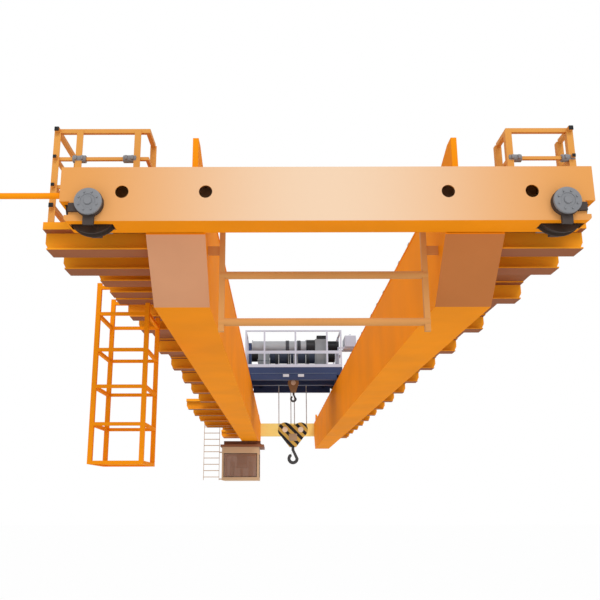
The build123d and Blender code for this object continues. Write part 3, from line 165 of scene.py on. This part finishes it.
# Trolley rails and wheels: rolled rails and forged wheels, left bare.
# The rails are brown with mill scale, and the wheels dark with old grease.
def bare_steel(name, colour, roughness, metallic=0.75):
    steel = enamel(name, colour, roughness, 0.18, grain=6.0)
    steel.node_tree.nodes["Principled BSDF"].inputs["Metallic"].default_value = metallic
    return steel


rail_steel = bare_steel("rail_steel", (0.24, 0.17, 0.13), 0.42)
wheel_steel = bare_steel("wheel_steel", (0.045, 0.03, 0.022), 0.5, 0.4)
coat(["trolley_rails"], rail_steel)
wheel_names = [name for name in solids if name.endswith("_wheel")]
coat(wheel_names, wheel_steel)


# Rail clips: forged clips, each with a hexagon bolt through the girder's top flange.
# They grip the rail's foot from both sides every 0.82 m.
def new_piece(name, finish, body):
    """Names and finishes the active object, settles it at the origin and lets it ride."""
    piece = bpy.context.object
    piece.name = name
    piece.data.name = name
    bpy.ops.object.transform_apply(location=True, rotation=True, scale=True)
    piece.data.materials.clear()
    piece.data.materials.append(finish)
    bpy.ops.object.shade_smooth_by_angle(angle=math.radians(35))
    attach(piece, body)
    bpy.ops.object.select_all(action="DESELECT")
    return piece


def pick_faces(test):
    """Selects the edited mesh's faces whose centre and normal pass the test."""
    mesh = bpy.context.object.data
    bpy.ops.mesh.select_mode(type="FACE")
    bpy.ops.mesh.select_all(action="DESELECT")
    shell = bmesh.from_edit_mesh(mesh)
    for face in shell.faces:
        face.select_set(test(face.calc_center_median(), face.normal))
    bmesh.update_edit_mesh(mesh)


def stamp(kind, **settings):
    """Adds a mesh primitive with nothing else selected."""
    bpy.ops.object.select_all(action="DESELECT")
    getattr(bpy.ops.mesh, f"primitive_{kind}_add")(**settings)


def block(low, high, bevel=0.0):
    """Adds a box between two corners, its edges broken by a small bevel."""
    middle = [(a + b) / 2 for a, b in zip(low, high)]
    stamp("cube", size=1, location=middle, scale=[abs(b - a) for a, b in zip(low, high)])
    if bevel:
        bpy.ops.object.transform_apply(location=False, rotation=False, scale=True)
        bpy.ops.object.mode_set(mode="EDIT")
        bpy.ops.mesh.bevel(offset=bevel, segments=2, affect="EDGES")
        bpy.ops.object.mode_set(mode="OBJECT")
    return bpy.context.object


def repeat(count, step):
    """Arrays the active object and applies the modifier."""
    row = bpy.context.object.modifiers.new("row", "ARRAY")
    row.count = count
    row.use_relative_offset = False
    row.use_constant_offset = True
    row.constant_offset_displace = step
    bpy.ops.object.modifier_apply(modifier="row")


def weld(parts):
    """Joins loose objects into the first of them."""
    bpy.ops.object.select_all(action="DESELECT")
    for part in parts:
        part.select_set(True)
    bpy.context.view_layer.objects.active = parts[0]
    bpy.ops.object.join()
    return bpy.context.object


rail_x = 1.355
rail_foot_z = 0.65
clip_front, clip_bolt, clip_back = 0.70, 0.73, 0.76
clip_pitch = 0.82
clips_a_side = 34
for side_name, side in (("left", -1), ("right", 1)):
    clip_row = []
    for flank in (-1, 1):
        edge = side * rail_x + flank * 0.045
        clip_top = (edge + flank * 0.055, clip_back, rail_foot_z + 0.032)
        clip_row.append(block((edge, clip_front, rail_foot_z), clip_top, 0.004))
        stamp("cylinder", vertices=6, radius=0.014, depth=0.02,
              location=(edge + flank * 0.034, clip_bolt, rail_foot_z + 0.042))
        clip_row.append(bpy.context.object)
    weld(clip_row)
    bpy.ops.object.transform_apply(location=True, rotation=True, scale=True)
    repeat(clips_a_side, (0, clip_pitch, 0))
    new_piece(f"rail_clips_{side_name}", rail_steel, "crane")

# Wheel bearings: dark cast boxes bolted to the webs of both carriages, under grey covers.
# Each cover is a stepped disc with eight cap screws and a blind boss in the middle.
bearing_grey = enamel("bearing_grey", (0.22, 0.225, 0.24), 0.45, 0.08)
coat(["wheel_bearing_boxes"], enamel("bearing_box_dark", (0.06, 0.045, 0.04), 0.55, 0.1))
web_face = 0.177
box_depth = 0.058
wheel_x, wheel_z = 2.38, 0.25
cover_screws = 8
screw_circle = 0.098
for carriage_name, carriage_y, away in (("near", 0.0, -1), ("far", 28.5, 1)):
    for face_name, outward in (("outer", away), ("inner", -away)):
        for side_name, side in (("left", -1), ("right", 1)):
            stamp("cylinder", vertices=48, radius=0.138, depth=0.03, location=(0, 0, 0))
            cover_parts = [bpy.context.object]
            bpy.ops.object.mode_set(mode="EDIT")
            pick_faces(lambda centre, normal: normal.z > 0.9)
            bpy.ops.mesh.inset(thickness=0.018, depth=0.006)
            bpy.ops.mesh.inset(thickness=0.045, depth=0.0)
            bpy.ops.mesh.inset(thickness=0.004, depth=-0.006)
            bpy.ops.mesh.inset(thickness=0.028, depth=0.0)
            bpy.ops.mesh.inset(thickness=0.006, depth=0.014)
            bpy.ops.object.mode_set(mode="OBJECT")
            for screw in range(cover_screws):
                angle = (screw + 0.5) * math.tau / cover_screws
                stamp("cylinder", vertices=6, radius=0.0095, depth=0.014,
                      location=(screw_circle * math.cos(angle), screw_circle * math.sin(angle), 0.026))
                cover_parts.append(bpy.context.object)
            cover = weld(cover_parts)
            cover_y = carriage_y + outward * (web_face + box_depth) + outward * 0.0155
            cover.rotation_euler = (outward * -math.pi / 2, 0, 0)
            cover.location = (side * wheel_x, cover_y, wheel_z)
            new_piece(f"{carriage_name}_{face_name}_{side_name}_bearing_cover", bearing_grey, "crane")

# Railing fittings: black plastic plugs in the open ends of the platforms' side rails,
# and collars on the clamps that hold the drop-out section of each knee rail.
black_plastic = enamel("black_plastic", (0.012, 0.012, 0.013), 0.5, 0.1)
clamp_grey = enamel("clamp_grey", (0.23, 0.23, 0.24), 0.4, 0.08)
knee_rail_z = 1.008
rail_levels = ((1.338, 0.048), (knee_rail_z, 0.036), (0.678, 0.036), (0.44, 0.048))
for end_name, front_y, inward in (("near", 0.323, 1), ("far", 28.177, -1)):
    plugs = []
    for side_rail_x in (-2.93, 2.74):
        for rail_z, tube in rail_levels:
            half = tube * 0.52
            plug_low = (side_rail_x - half, front_y - inward * 0.011, rail_z - half)
            plug_high = (side_rail_x + half, front_y + inward * 0.002, rail_z + half)
            plugs.append(block(plug_low, plug_high, 0.004))
    weld(plugs)
    new_piece(f"{end_name}_rail_plugs", black_plastic, "crane")
    clamps = []
    for clamp_x in (-2.675, -2.12, 2.115, 2.70):
        clamp_y = front_y + inward * 0.077
        stamp("cylinder", vertices=32, radius=0.0435, depth=0.136,
              location=(clamp_x, clamp_y, knee_rail_z), rotation=(0, math.pi / 2, 0))
        bpy.ops.object.mode_set(mode="EDIT")
        pick_faces(lambda centre, normal: abs(normal.z) > 0.9)
        bpy.ops.mesh.inset(thickness=0.008, depth=0.006)
        bpy.ops.object.mode_set(mode="OBJECT")
        clamps.append(bpy.context.object)
        for lug in (-0.035, 0.035):
            lug_low = (clamp_x + lug - 0.011, clamp_y - inward * 0.062, knee_rail_z - 0.023)
            lug_high = (clamp_x + lug + 0.011, clamp_y, knee_rail_z + 0.023)
            clamps.append(block(lug_low, lug_high, 0.003))
    weld(clamps)
    new_piece(f"{end_name}_rail_clamps", clamp_grey, "crane")

# Carriage buffers: a red pressed-steel cup bolted to the carriage end, with a black
# rubber disc that stands out of it. The solids stay and are coloured face by face.
buffer_red = enamel("buffer_red", (0.42, 0.02, 0.015), 0.4, 0.06)
buffer_rubber = enamel("buffer_rubber", (0.016, 0.016, 0.016), 0.75, 0.15)
cup_rim_x = 2.7205
coat(["carriage_buffers"], buffer_red)
second_coat("carriage_buffers", buffer_rubber, lambda face: abs(face.center.x) > cup_rim_x)

# Travel drives: worm gearboxes and squirrel-cage motors behind the inner webs.
# Cast iron in mid grey, with the motor's fins running along it.
machine_grey = enamel("machine_grey", (0.25, 0.26, 0.275), 0.4, 0.07)
coat(["travel_drives"], machine_grey)


def finned_motor(length, radius, place, turn, name, finish, body):
    """A motor barrel along local z, with cooling fins, an end shield and a fan cowl."""
    slices = 48
    slice_angle = math.tau / slices

    def on_a_fin(centre, normal):
        slice_number = round((math.atan2(centre.y, centre.x) - slice_angle / 2) / slice_angle)
        return abs(normal.z) < 0.5 and abs(centre.z + length * 0.04) < length * 0.1 and slice_number % 2 == 0

    def on_an_end_ring(centre, normal):
        return abs(normal.z) < 0.5 and abs(centre.z) > length * 0.2 and centre.length > radius * 0.5

    stamp("cylinder", vertices=slices, radius=radius * 0.9, depth=length, location=(0, 0, 0))
    bpy.ops.object.mode_set(mode="EDIT")
    bpy.ops.mesh.bisect(plane_co=(0, 0, length * 0.30), plane_no=(0, 0, 1))
    bpy.ops.mesh.select_all(action="SELECT")
    bpy.ops.mesh.bisect(plane_co=(0, 0, -length * 0.38), plane_no=(0, 0, 1))
    pick_faces(on_a_fin)
    bpy.ops.mesh.extrude_faces_move(TRANSFORM_OT_shrink_fatten={"value": radius * 0.1})
    pick_faces(on_an_end_ring)
    bpy.ops.mesh.extrude_region_shrink_fatten(TRANSFORM_OT_shrink_fatten={"value": radius * 0.08})
    pick_faces(lambda centre, normal: normal.z > 0.9 and centre.z > length * 0.45)
    bpy.ops.mesh.inset(thickness=radius * 0.12, depth=0)
    bpy.ops.mesh.inset(thickness=radius * 0.05, depth=-length * 0.02)
    bpy.ops.object.mode_set(mode="OBJECT")
    motor = bpy.context.object
    motor.rotation_euler = turn
    motor.location = place
    return new_piece(name, finish, body)


for end_name, motor_y, inward in (("near", 0.552, 1), ("far", 27.948, -1)):
    for side_name, side in (("left", -1), ("right", 1)):
        finned_motor(0.41, 0.118, (side * wheel_x, motor_y, 0.44), (-inward * math.pi / 2, 0, 0),
                     f"{end_name}_{side_name}_travel_motor", machine_grey, "crane")

# Cab: a folded steel shell in cream enamel under a brown roof sheet, hung on brown channels.
# Its ladder is the same cream. The roof is a part of the shell and is coloured face by face.
cab_cream = enamel("cab_cream", (0.62, 0.42, 0.25), 0.55, 0.05)
cab_brown = enamel("cab_brown", (0.26, 0.10, 0.045), 0.55, 0.06)
coat(["cab_shell", "cab_ladder"], cab_cream)
coat(["cab_hanger"], cab_brown)
roof_edge_z = -0.7905
second_coat("cab_shell", cab_brown, lambda face: face.center.z > roof_edge_z)

# Cab glazing: four sheets of brown-tinted safety glass in rubber strip,
# with the strip's dark line round each sheet.
brown_glass = bpy.data.materials.new("brown_glass")
brown_glass.use_nodes = True
pane_shader = brown_glass.node_tree.nodes["Principled BSDF"]
pane_shader.inputs["Base Color"].default_value = (0.36, 0.19, 0.12, 1)
pane_shader.inputs["Roughness"].default_value = 0.08
pane_shader.inputs["Alpha"].default_value = 0.62
coat(["cab_windows"], brown_glass)
strip_rubber = enamel("strip_rubber", (0.02, 0.02, 0.02), 0.6, 0.1)
strip_width = 0.018
cab_sides = (
    ((-2.55, 22.317, -1.93), (-1.26, 22.325, -1.03), 1),
    ((-2.55, 24.283, -1.93), (-1.26, 24.275, -1.03), 1),
    ((-1.207, 22.37, -1.93), (-1.215, 24.23, -1.03), 0),
    ((-2.603, 23.13, -1.93), (-2.595, 24.23, -1.03), 0),
)
strips = []
for low, high, thin in cab_sides:
    wide = 1 - thin
    for corner in (0, 1):
        for axis in (wide, 2):
            strip_low, strip_high = list(low), list(high)
            if corner == 0:
                strip_high[axis] = low[axis] + strip_width
            else:
                strip_low[axis] = high[axis] - strip_width
            strips.append(block(strip_low, strip_high))
weld(strips)
new_piece("cab_window_strips", strip_rubber, "crane")

# Cab fittings: a padded chair on a pedestal between two control desks, each with a lever.
# All of it is dark, and shows through the panes and the doorway.
cab_dark = enamel("cab_dark", (0.035, 0.036, 0.04), 0.6, 0.1)
fittings = [
    block((-2.12, 22.95, -1.56), (-1.66, 23.40, -1.46), 0.03),
    block((-2.10, 23.36, -1.48), (-1.68, 23.46, -1.00), 0.03),
    block((-2.34, 22.80, -1.99), (-2.18, 23.35, -1.32), 0.02),
    block((-1.60, 22.80, -1.99), (-1.44, 23.35, -1.32), 0.02),
]
stamp("cylinder", vertices=24, radius=0.06, depth=0.44, location=(-1.89, 23.18, -1.77))
fittings.append(bpy.context.object)
for lever_x in (-2.26, -1.52):
    stamp("cylinder", vertices=12, radius=0.012, depth=0.16, location=(lever_x, 22.92, -1.25))
    fittings.append(bpy.context.object)
    stamp("uv_sphere", segments=16, ring_count=8, radius=0.028, location=(lever_x, 22.92, -1.16))
    fittings.append(bpy.context.object)
weld(fittings)
new_piece("cab_chair_and_desks", cab_dark, "crane")

# Trolley frame, floor and drum stands: welded box beams and plate in navy enamel.
# A flat bar runs along the front beam's face in a lighter blue, which paints a highlight along it, over two bare pale
# plates.
navy = enamel("navy_enamel", (0.030, 0.046, 0.115), 0.5, 0.12)
coat(["trolley_frame", "trolley_floor", "drum_stands"], navy)
beam_face_y = 14.8
block((-1.27, beam_face_y - 0.015, 0.882), (1.27, beam_face_y, 0.900), 0.003)
beam_bar_highlight_blue = enamel("beam_bar_highlight_blue", (0.10, 0.13, 0.22), 0.5, 0.08)
new_piece("front_beam_bar", beam_bar_highlight_blue, "trolley")
pale_plate = enamel("pale_plate", (0.55, 0.56, 0.60), 0.45, 0.04)
plates = []
for plate_left, plate_right in ((-0.316, -0.139), (0.127, 0.304)):
    plate_low = (plate_left, beam_face_y - 0.008, 0.785)
    plates.append(block(plate_low, (plate_right, beam_face_y, 0.867), 0.003))
weld(plates)
new_piece("front_beam_plates", pale_plate, "trolley")

# Trolley railing and electrical box: light sections and sheet steel in pale lavender.
# The box has ribs pressed in its front and its outer side, and two lifting eyes on top.
lavender = enamel("lavender_enamel", (0.52, 0.53, 0.62), 0.4, 0.05)
coat(["trolley_railing", "electrical_box"], lavender)
box_front_y, box_side_x = 15.0, 1.89
rib_bottom, rib_top, rib_height = 1.77, 2.04, 0.01
ribs = []
for rib in range(5):
    rib_x = 1.60 + rib * 0.0625
    rib_low = (rib_x, box_front_y - rib_height, rib_bottom)
    ribs.append(block(rib_low, (rib_x + 0.02, box_front_y, rib_top), 0.003))
for rib in range(12):
    rib_y = 15.04 + rib * 0.072
    rib_high = (box_side_x + rib_height, rib_y + 0.022, rib_top)
    ribs.append(block((box_side_x, rib_y, rib_bottom), rib_high, 0.003))
for eye_y in (15.12, 15.78):
    stamp("torus", major_radius=0.03, minor_radius=0.008, major_segments=24, minor_segments=8,
          location=(1.725, eye_y, 2.098), rotation=(math.pi / 2, 0, 0))
    ribs.append(bpy.context.object)
weld(ribs)
new_piece("electrical_box_ribs", lavender, "trolley")

# Hoist drums: welded drums turned with rope grooves between two rims.
# The auxiliary drum is pale grey and the main drum slate; they stand over their plain solids.
drum_grey = enamel("drum_grey", (0.42, 0.43, 0.45), 0.36, 0.06)
drum_slate = enamel("drum_slate", (0.055, 0.065, 0.10), 0.45, 0.08)
coat(["aux_drum"], drum_grey)
coat(["main_drum"], drum_slate)
rope_steel = bare_steel("rope_steel", (0.52, 0.52, 0.51), 0.6, 0.15)
greased_rope = bare_steel("greased_rope", (0.085, 0.088, 0.10), 0.5, 0.3)
drum_axis_z = 1.79
aux_drum_y, main_drum_y = 15.3, 16.9
aux_falls = (-0.135, 0.135)
main_falls = (-0.435, -0.055, 0.055, 0.435)
turns_beside_a_fall = 5
drums = (
    ("aux_drum", drum_grey, "grey_paint", aux_drum_y, -1.25, 0.39, 0.170, 0.0205, aux_falls, 0.010),
    ("main_drum", drum_slate, "blue_paint", main_drum_y, -0.72, 0.96, 0.250, 0.0265, main_falls, 0.013),
)
for drum_name, drum_paint, slot, drum_y, left, right, barrel, pitch, falls, strand in drums:
    turns = int((right - left - 0.06) / pitch)
    stamp("cylinder", vertices=48, radius=barrel + 0.003, depth=pitch, end_fill_type="NOTHING")
    bpy.ops.object.mode_set(mode="EDIT")
    bpy.ops.mesh.select_all(action="SELECT")
    bpy.ops.mesh.bisect(plane_co=(0, 0, 0), plane_no=(0, 0, 1))
    groove_floor = 1 - strand * 0.5 / barrel
    bpy.ops.transform.resize(value=(groove_floor, groove_floor, 1))
    bpy.ops.object.mode_set(mode="OBJECT")
    repeat(turns, (0, 0, pitch))
    bpy.ops.object.mode_set(mode="EDIT")
    bpy.ops.mesh.select_all(action="SELECT")
    bpy.ops.mesh.remove_doubles(threshold=0.0002)
    bpy.ops.mesh.select_mode(type="EDGE")
    bpy.ops.mesh.select_all(action="DESELECT")
    bpy.ops.mesh.select_non_manifold()
    bpy.ops.mesh.edge_face_add()
    bpy.ops.mesh.select_all(action="SELECT")
    bpy.ops.mesh.normals_make_consistent(inside=False)
    bpy.ops.object.mode_set(mode="OBJECT")
    grooves = bpy.context.object
    grooves.rotation_euler = (0, math.pi / 2, 0)
    grooves.location = (left + 0.03 + pitch / 2, drum_y, drum_axis_z)
    new_piece(f"{drum_name}_grooves", drum_paint, drum_name)
    # A few turns of rope lie in the grooves beside each fall
    coils = []
    for fall in falls:
        stamp("torus", major_radius=barrel + strand, minor_radius=strand, major_segments=48, minor_segments=8,
              location=(0, 0, 0))
        repeat(turns_beside_a_fall, (0, 0, pitch))
        coil = bpy.context.object
        coil.rotation_euler = (0, math.pi / 2, 0)
        coil_start = fall if fall > 0 else fall - (turns_beside_a_fall - 1) * pitch
        coil.location = (coil_start, drum_y, drum_axis_z)
        coils.append(coil)
    weld(coils)
    new_piece(f"{drum_name}_rope_turns", greased_rope, drum_name)

# Hoist gearboxes: ribbed cast housings with bolted split flanges, in mid grey.
# The auxiliary one carries a black terminal box, coloured face by face.
coat(["hoist_gearboxes"], machine_grey)
terminal_black = enamel("terminal_black", (0.014, 0.014, 0.016), 0.5, 0.1)
aux_housing_top, between_housings = 2.0, 16
second_coat(
    "hoist_gearboxes", terminal_black,
    lambda face: face.center.z > aux_housing_top and face.center.y < between_housings,
)
split_z, housing_foot = 1.60, 1.10
rib_count, screws_a_side = 3, 6
housings = (("aux", 0.66, 1.0, 15.12, 15.48), ("main", -1.1, -0.732, 16.62, 17.18))
for hoist_name, left, right, front, back in housings:
    flange_high = (right + 0.006, back + 0.02, split_z + 0.03)
    flange_parts = [block((left - 0.02, front - 0.02, split_z), flange_high, 0.004)]
    for rib in range(rib_count):
        rib_x = left + (right - left) * (rib + 0.5) / rib_count
        rib_low = (rib_x - 0.008, front - 0.016, housing_foot)
        flange_parts.append(block(rib_low, (rib_x + 0.008, front, split_z), 0.003))
    for screw in range(screws_a_side):
        screw_x = left + (right - left) * (screw + 0.5) / screws_a_side
        for screw_y in (front - 0.01, back + 0.01):
            stamp("cylinder", vertices=6, radius=0.009, depth=0.05, location=(screw_x, screw_y, split_z + 0.015))
            flange_parts.append(bpy.context.object)
    weld(flange_parts)
    new_piece(f"{hoist_name}_gearbox_flange", machine_grey, "trolley")

# Hoist motors and brake: black finned motors flanged to the gearboxes' outer ends,
# and between drum and gearbox the auxiliary hoist's brake, under a round pressed cowl.
machine_black = enamel("machine_black", (0.018, 0.018, 0.02), 0.38, 0.1)
coat(["hoist_motors"], machine_black)
finned_motor(0.372, 0.166, (1.192, aux_drum_y, drum_axis_z), (0, math.pi / 2, 0),
             "aux_hoist_motor", machine_black, "trolley")
finned_motor(0.272, 0.186, (-1.238, main_drum_y, drum_axis_z), (0, -math.pi / 2, 0),
             "main_hoist_motor", machine_black, "trolley")
stamp("cylinder", vertices=48, radius=0.206, depth=0.262,
      location=(0.531, aux_drum_y, drum_axis_z), rotation=(0, math.pi / 2, 0))
bpy.ops.object.mode_set(mode="EDIT")
pick_faces(lambda centre, normal: abs(normal.z) > 0.9)
bpy.ops.mesh.inset(thickness=0.03, depth=0)
bpy.ops.mesh.inset(thickness=0.01, depth=-0.004)
bpy.ops.object.mode_set(mode="OBJECT")
new_piece("aux_brake_cowl", machine_black, "trolley")


# Hook blocks: the main one has dull yellow cheeks with black warning stripes, sprayed
# through a mask at 45 degrees. The auxiliary one is plain brown. Pale caps cover the pins.
def striped_paint(name, colour, width):
    """Stripes across X and Z. The shift keeps their count above zero all over the block."""
    paint = enamel(name, colour, 0.5, 0.06)
    tree = paint.node_tree
    shader = tree.nodes["Principled BSDF"]
    yellow = shader.inputs["Base Color"].links[0].from_socket
    place = tree.nodes.new("ShaderNodeTexCoord")
    axes = tree.nodes.new("ShaderNodeSeparateXYZ")
    slope = tree.nodes.new("ShaderNodeMath")
    slope.operation = "ADD"
    period = tree.nodes.new("ShaderNodeMath")
    period.operation = "MODULO"
    period.inputs[1].default_value = 2 * width
    black_side = tree.nodes.new("ShaderNodeMath")
    black_side.operation = "GREATER_THAN"
    black_side.inputs[1].default_value = width
    shift = tree.nodes.new("ShaderNodeMath")
    shift.operation = "ADD"
    shift.inputs[1].default_value = 200 * width
    mix = tree.nodes.new("ShaderNodeMix")
    mix.data_type = "RGBA"
    mix.inputs["B"].default_value = (0.012, 0.012, 0.012, 1)
    tree.links.new(place.outputs["Object"], axes.inputs["Vector"])
    tree.links.new(axes.outputs["X"], slope.inputs[0])
    tree.links.new(axes.outputs["Z"], slope.inputs[1])
    tree.links.new(slope.outputs["Value"], shift.inputs[0])
    tree.links.new(shift.outputs["Value"], period.inputs[0])
    tree.links.new(period.outputs["Value"], black_side.inputs[0])
    tree.links.new(black_side.outputs["Value"], mix.inputs["Factor"])
    tree.links.new(yellow, mix.inputs["A"])
    tree.links.new(mix.outputs["Result"], shader.inputs["Base Color"])
    return paint


coat(["main_block"], striped_paint("main_block_stripes", (0.60, 0.36, 0.07), 0.135))
coat(["aux_block"], enamel("aux_block_brown", (0.34, 0.19, 0.09), 0.5, 0.08))
hook_steel = bare_steel("hook_steel", (0.06, 0.06, 0.062), 0.42, 0.4)
coat(["main_hook", "aux_hook"], hook_steel)
cap_enamel = enamel("cap_enamel", (0.80, 0.62, 0.46), 0.45, 0.05)
main_y, main_pin_z, main_cheek = 16.6367, -0.61, 0.125
aux_y, aux_pin_z, aux_cheek = 15.4803, 0.70, 0.09
for pin_name, body, centres, pin_y, pin_z, cheek, radius in (
    ("main", "main_block", (-0.245, 0.245), main_y, main_pin_z, main_cheek, 0.085),
    ("aux", "aux_block", (0.0,), aux_y, aux_pin_z, aux_cheek, 0.075),
):
    caps = []
    for pin_x in centres:
        for outward in (-1, 1):
            stamp("cylinder", vertices=32, radius=radius, depth=0.016, location=(0, 0, 0))
            bpy.ops.object.mode_set(mode="EDIT")
            pick_faces(lambda centre, normal: normal.z > 0.9)
            bpy.ops.mesh.inset(thickness=radius * 0.3, depth=0.005)
            bpy.ops.object.mode_set(mode="OBJECT")
            cap = bpy.context.object
            cap.rotation_euler = (outward * -math.pi / 2, 0, 0)
            cap.location = (pin_x, pin_y + outward * (cheek + 0.008), pin_z)
            caps.append(cap)
    weld(caps)
    new_piece(f"{pin_name}_pin_caps", cap_enamel, body)

# Crosshead covers: a plain steel plate on each cheek of the main block, bolted over
# the crosshead that the hook's shank turns in.
cover_brown = enamel("cover_brown", (0.40, 0.26, 0.15), 0.5, 0.06)
crosshead_covers = []
for outward in (-1, 1):
    cheek_y = main_y + outward * main_cheek
    crosshead_covers.append(block((-0.13, cheek_y, -0.96), (0.13, cheek_y + outward * 0.012, -0.74), 0.004))
weld(crosshead_covers)
new_piece("main_crosshead_covers", cover_brown, "main_block")

# Ropes: greased wire rope. Straight falls run from the drums to the sheaves,
# and a half turn lies round the bottom of each sheave.
for rope_name, block_name, falls, rope_y, pin_z, strand in (
    ("main_ropes", "main_block", main_falls, main_y, main_pin_z, 0.013),
    ("aux_ropes", "aux_block", aux_falls, aux_y, aux_pin_z, 0.010),
):
    strands = []
    for fall in falls:
        stamp("cylinder", vertices=16, radius=strand, depth=drum_axis_z - pin_z,
              location=(fall, rope_y, (drum_axis_z + pin_z) / 2))
        strands.append(bpy.context.object)
    weld(strands)
    hoist_ropes = bpy.context.object
    hoist_ropes.name = f"{rope_name}_falls"
    bpy.ops.object.transform_apply(location=True, rotation=True, scale=True)
    hoist_ropes.data.materials.clear()
    hoist_ropes.data.materials.append(rope_steel)
    bpy.ops.object.shade_smooth_by_angle(angle=math.radians(35))
    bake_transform(hoist_ropes)
    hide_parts(rope_name)
    loops = []
    for left_fall, right_fall in zip(falls[::2], falls[1::2]):
        bend = (right_fall - left_fall) / 2
        stamp("torus", major_radius=bend, minor_radius=strand * 0.98, major_segments=64, minor_segments=12,
              location=((left_fall + right_fall) / 2, rope_y, pin_z), rotation=(math.pi / 2, 0, 0))
        bpy.ops.object.transform_apply(location=True, rotation=True, scale=True)
        bpy.ops.object.mode_set(mode="EDIT")
        bpy.ops.mesh.select_all(action="SELECT")
        bpy.ops.mesh.bisect(plane_co=(0, 0, pin_z), plane_no=(0, 0, 1), clear_outer=True, use_fill=True)
        bpy.ops.object.mode_set(mode="OBJECT")
        loops.append(bpy.context.object)
    weld(loops)
    new_piece(f"{block_name}_sheave_ropes", rope_steel, block_name)

# Hook latches: a sprung strip of plate from each hook's neck to its tip,
# so that a sling can't slip out.
latch_grey = enamel("latch_grey", (0.30, 0.30, 0.31), 0.35, 0.08)
tip_angle = math.radians(225)
for hook_name, hook_y, low, bend, drop, shank in (
    ("main_hook", main_y, -1.14, 0.125, 0.355, 0.090),
    ("aux_hook", aux_y, 0.41, 0.072, 0.190, 0.050),
):
    bowl = low - drop
    tip = Vector((bend * math.cos(tip_angle), hook_y, bowl - bend * math.sin(tip_angle)))
    root = Vector((shank * 0.15, hook_y, low - shank))
    strip = tip - root
    stamp("cube", size=1, scale=(strip.length, shank * 0.55, 0.006), location=(tip + root) / 2,
          rotation=(0, -math.atan2(strip.z, strip.x), 0))
    new_piece(f"{hook_name}_latch", latch_grey, hook_name)

# Studio: pale floor well under the hooks, white surroundings and one soft sun overhead,
# seen from low down in front of the near carriage.
floor_paint = bpy.data.materials.new("studio_floor")
floor_paint.use_nodes = True
floor_tree = floor_paint.node_tree
floor_shader = floor_tree.nodes["Principled BSDF"]
floor_shader.inputs["Base Color"].default_value = (0.9, 0.9, 0.9, 1)
floor_shader.inputs["Roughness"].default_value = 0.9


def show_white(tree, surface, output, share):
    """Camera, mirror and see-through rays find a share of plain white; other rays find the surface."""
    is_sky = surface.node.type == "BACKGROUND"
    white = tree.nodes.new("ShaderNodeBackground" if is_sky else "ShaderNodeEmission")
    white.inputs["Color"].default_value = (1, 1, 1, 1)
    white.inputs["Strength"].default_value = 1.0
    ray = tree.nodes.new("ShaderNodeLightPath")
    seen = tree.nodes.new("ShaderNodeMath")
    seen.operation = "MAXIMUM"
    either = tree.nodes.new("ShaderNodeMath")
    either.operation = "MAXIMUM"
    tree.links.new(ray.outputs["Is Camera Ray"], seen.inputs[0])
    tree.links.new(ray.outputs["Is Glossy Ray"], seen.inputs[1])
    tree.links.new(seen.outputs["Value"], either.inputs[0])
    tree.links.new(ray.outputs["Is Transmission Ray"], either.inputs[1])
    part = tree.nodes.new("ShaderNodeMath")
    part.operation = "MULTIPLY"
    part.inputs[1].default_value = share
    blend = tree.nodes.new("ShaderNodeMixShader")
    tree.links.new(either.outputs["Value"], part.inputs[0])
    tree.links.new(part.outputs["Value"], blend.inputs["Fac"])
    tree.links.new(surface, blend.inputs[1])
    tree.links.new(white.outputs[0], blend.inputs[2])
    tree.links.new(blend.outputs["Shader"], output)


# The floor's underside is clear, so that the crane can be seen from underneath.
# Its upper side shows a share of plain white and keeps the crane's shadow.
floor_side = floor_tree.nodes.new("ShaderNodeNewGeometry")
floor_clear = floor_tree.nodes.new("ShaderNodeBsdfTransparent")
floor_pick = floor_tree.nodes.new("ShaderNodeMixShader")
floor_tree.links.new(floor_side.outputs["Backfacing"], floor_pick.inputs["Fac"])
floor_tree.links.new(floor_clear.outputs["BSDF"], floor_pick.inputs[2])
floor_tree.links.new(floor_pick.outputs["Shader"], floor_tree.nodes["Material Output"].inputs["Surface"])
show_white(floor_tree, floor_shader.outputs["BSDF"], floor_pick.inputs[1], 0.85)
stamp("plane", size=400, location=(0, 14.25, -10.95))
studio_floor = bpy.context.object
studio_floor.name = "studio_floor"
studio_floor.data.materials.append(floor_paint)

studio = bpy.data.worlds.new("studio")
bpy.context.scene.world = studio
studio.use_nodes = True
sky = studio.node_tree.nodes["Background"]
sky.inputs["Color"].default_value = (1, 1, 1, 1)
sky.inputs["Strength"].default_value = 0.85
show_white(studio.node_tree, sky.outputs["Background"], studio.node_tree.nodes["World Output"].inputs["Surface"], 1.0)

key = bpy.data.lights.new("key", "SUN")
key.energy = 1.0
key.angle = math.radians(25)
key_lamp = bpy.data.objects.new("key", key)
key_lamp.rotation_euler = (math.radians(52), math.radians(14), 0)
bpy.context.scene.collection.objects.link(key_lamp)

view = bpy.data.cameras.new("photo_camera")
view.lens = 45.0
view.sensor_width = 36.0
view.shift_x = 0.0408
view.clip_end = 500
camera = bpy.data.objects.new("photo_camera", view)
camera.location = (-0.513, -7.211, -2.570)
camera.rotation_euler = (math.pi / 2 + 0.2535, 0.0017, 0.0014)
bpy.context.scene.collection.objects.link(camera)
bpy.context.scene.camera = camera
bpy.context.scene.view_settings.view_transform = "Standard"
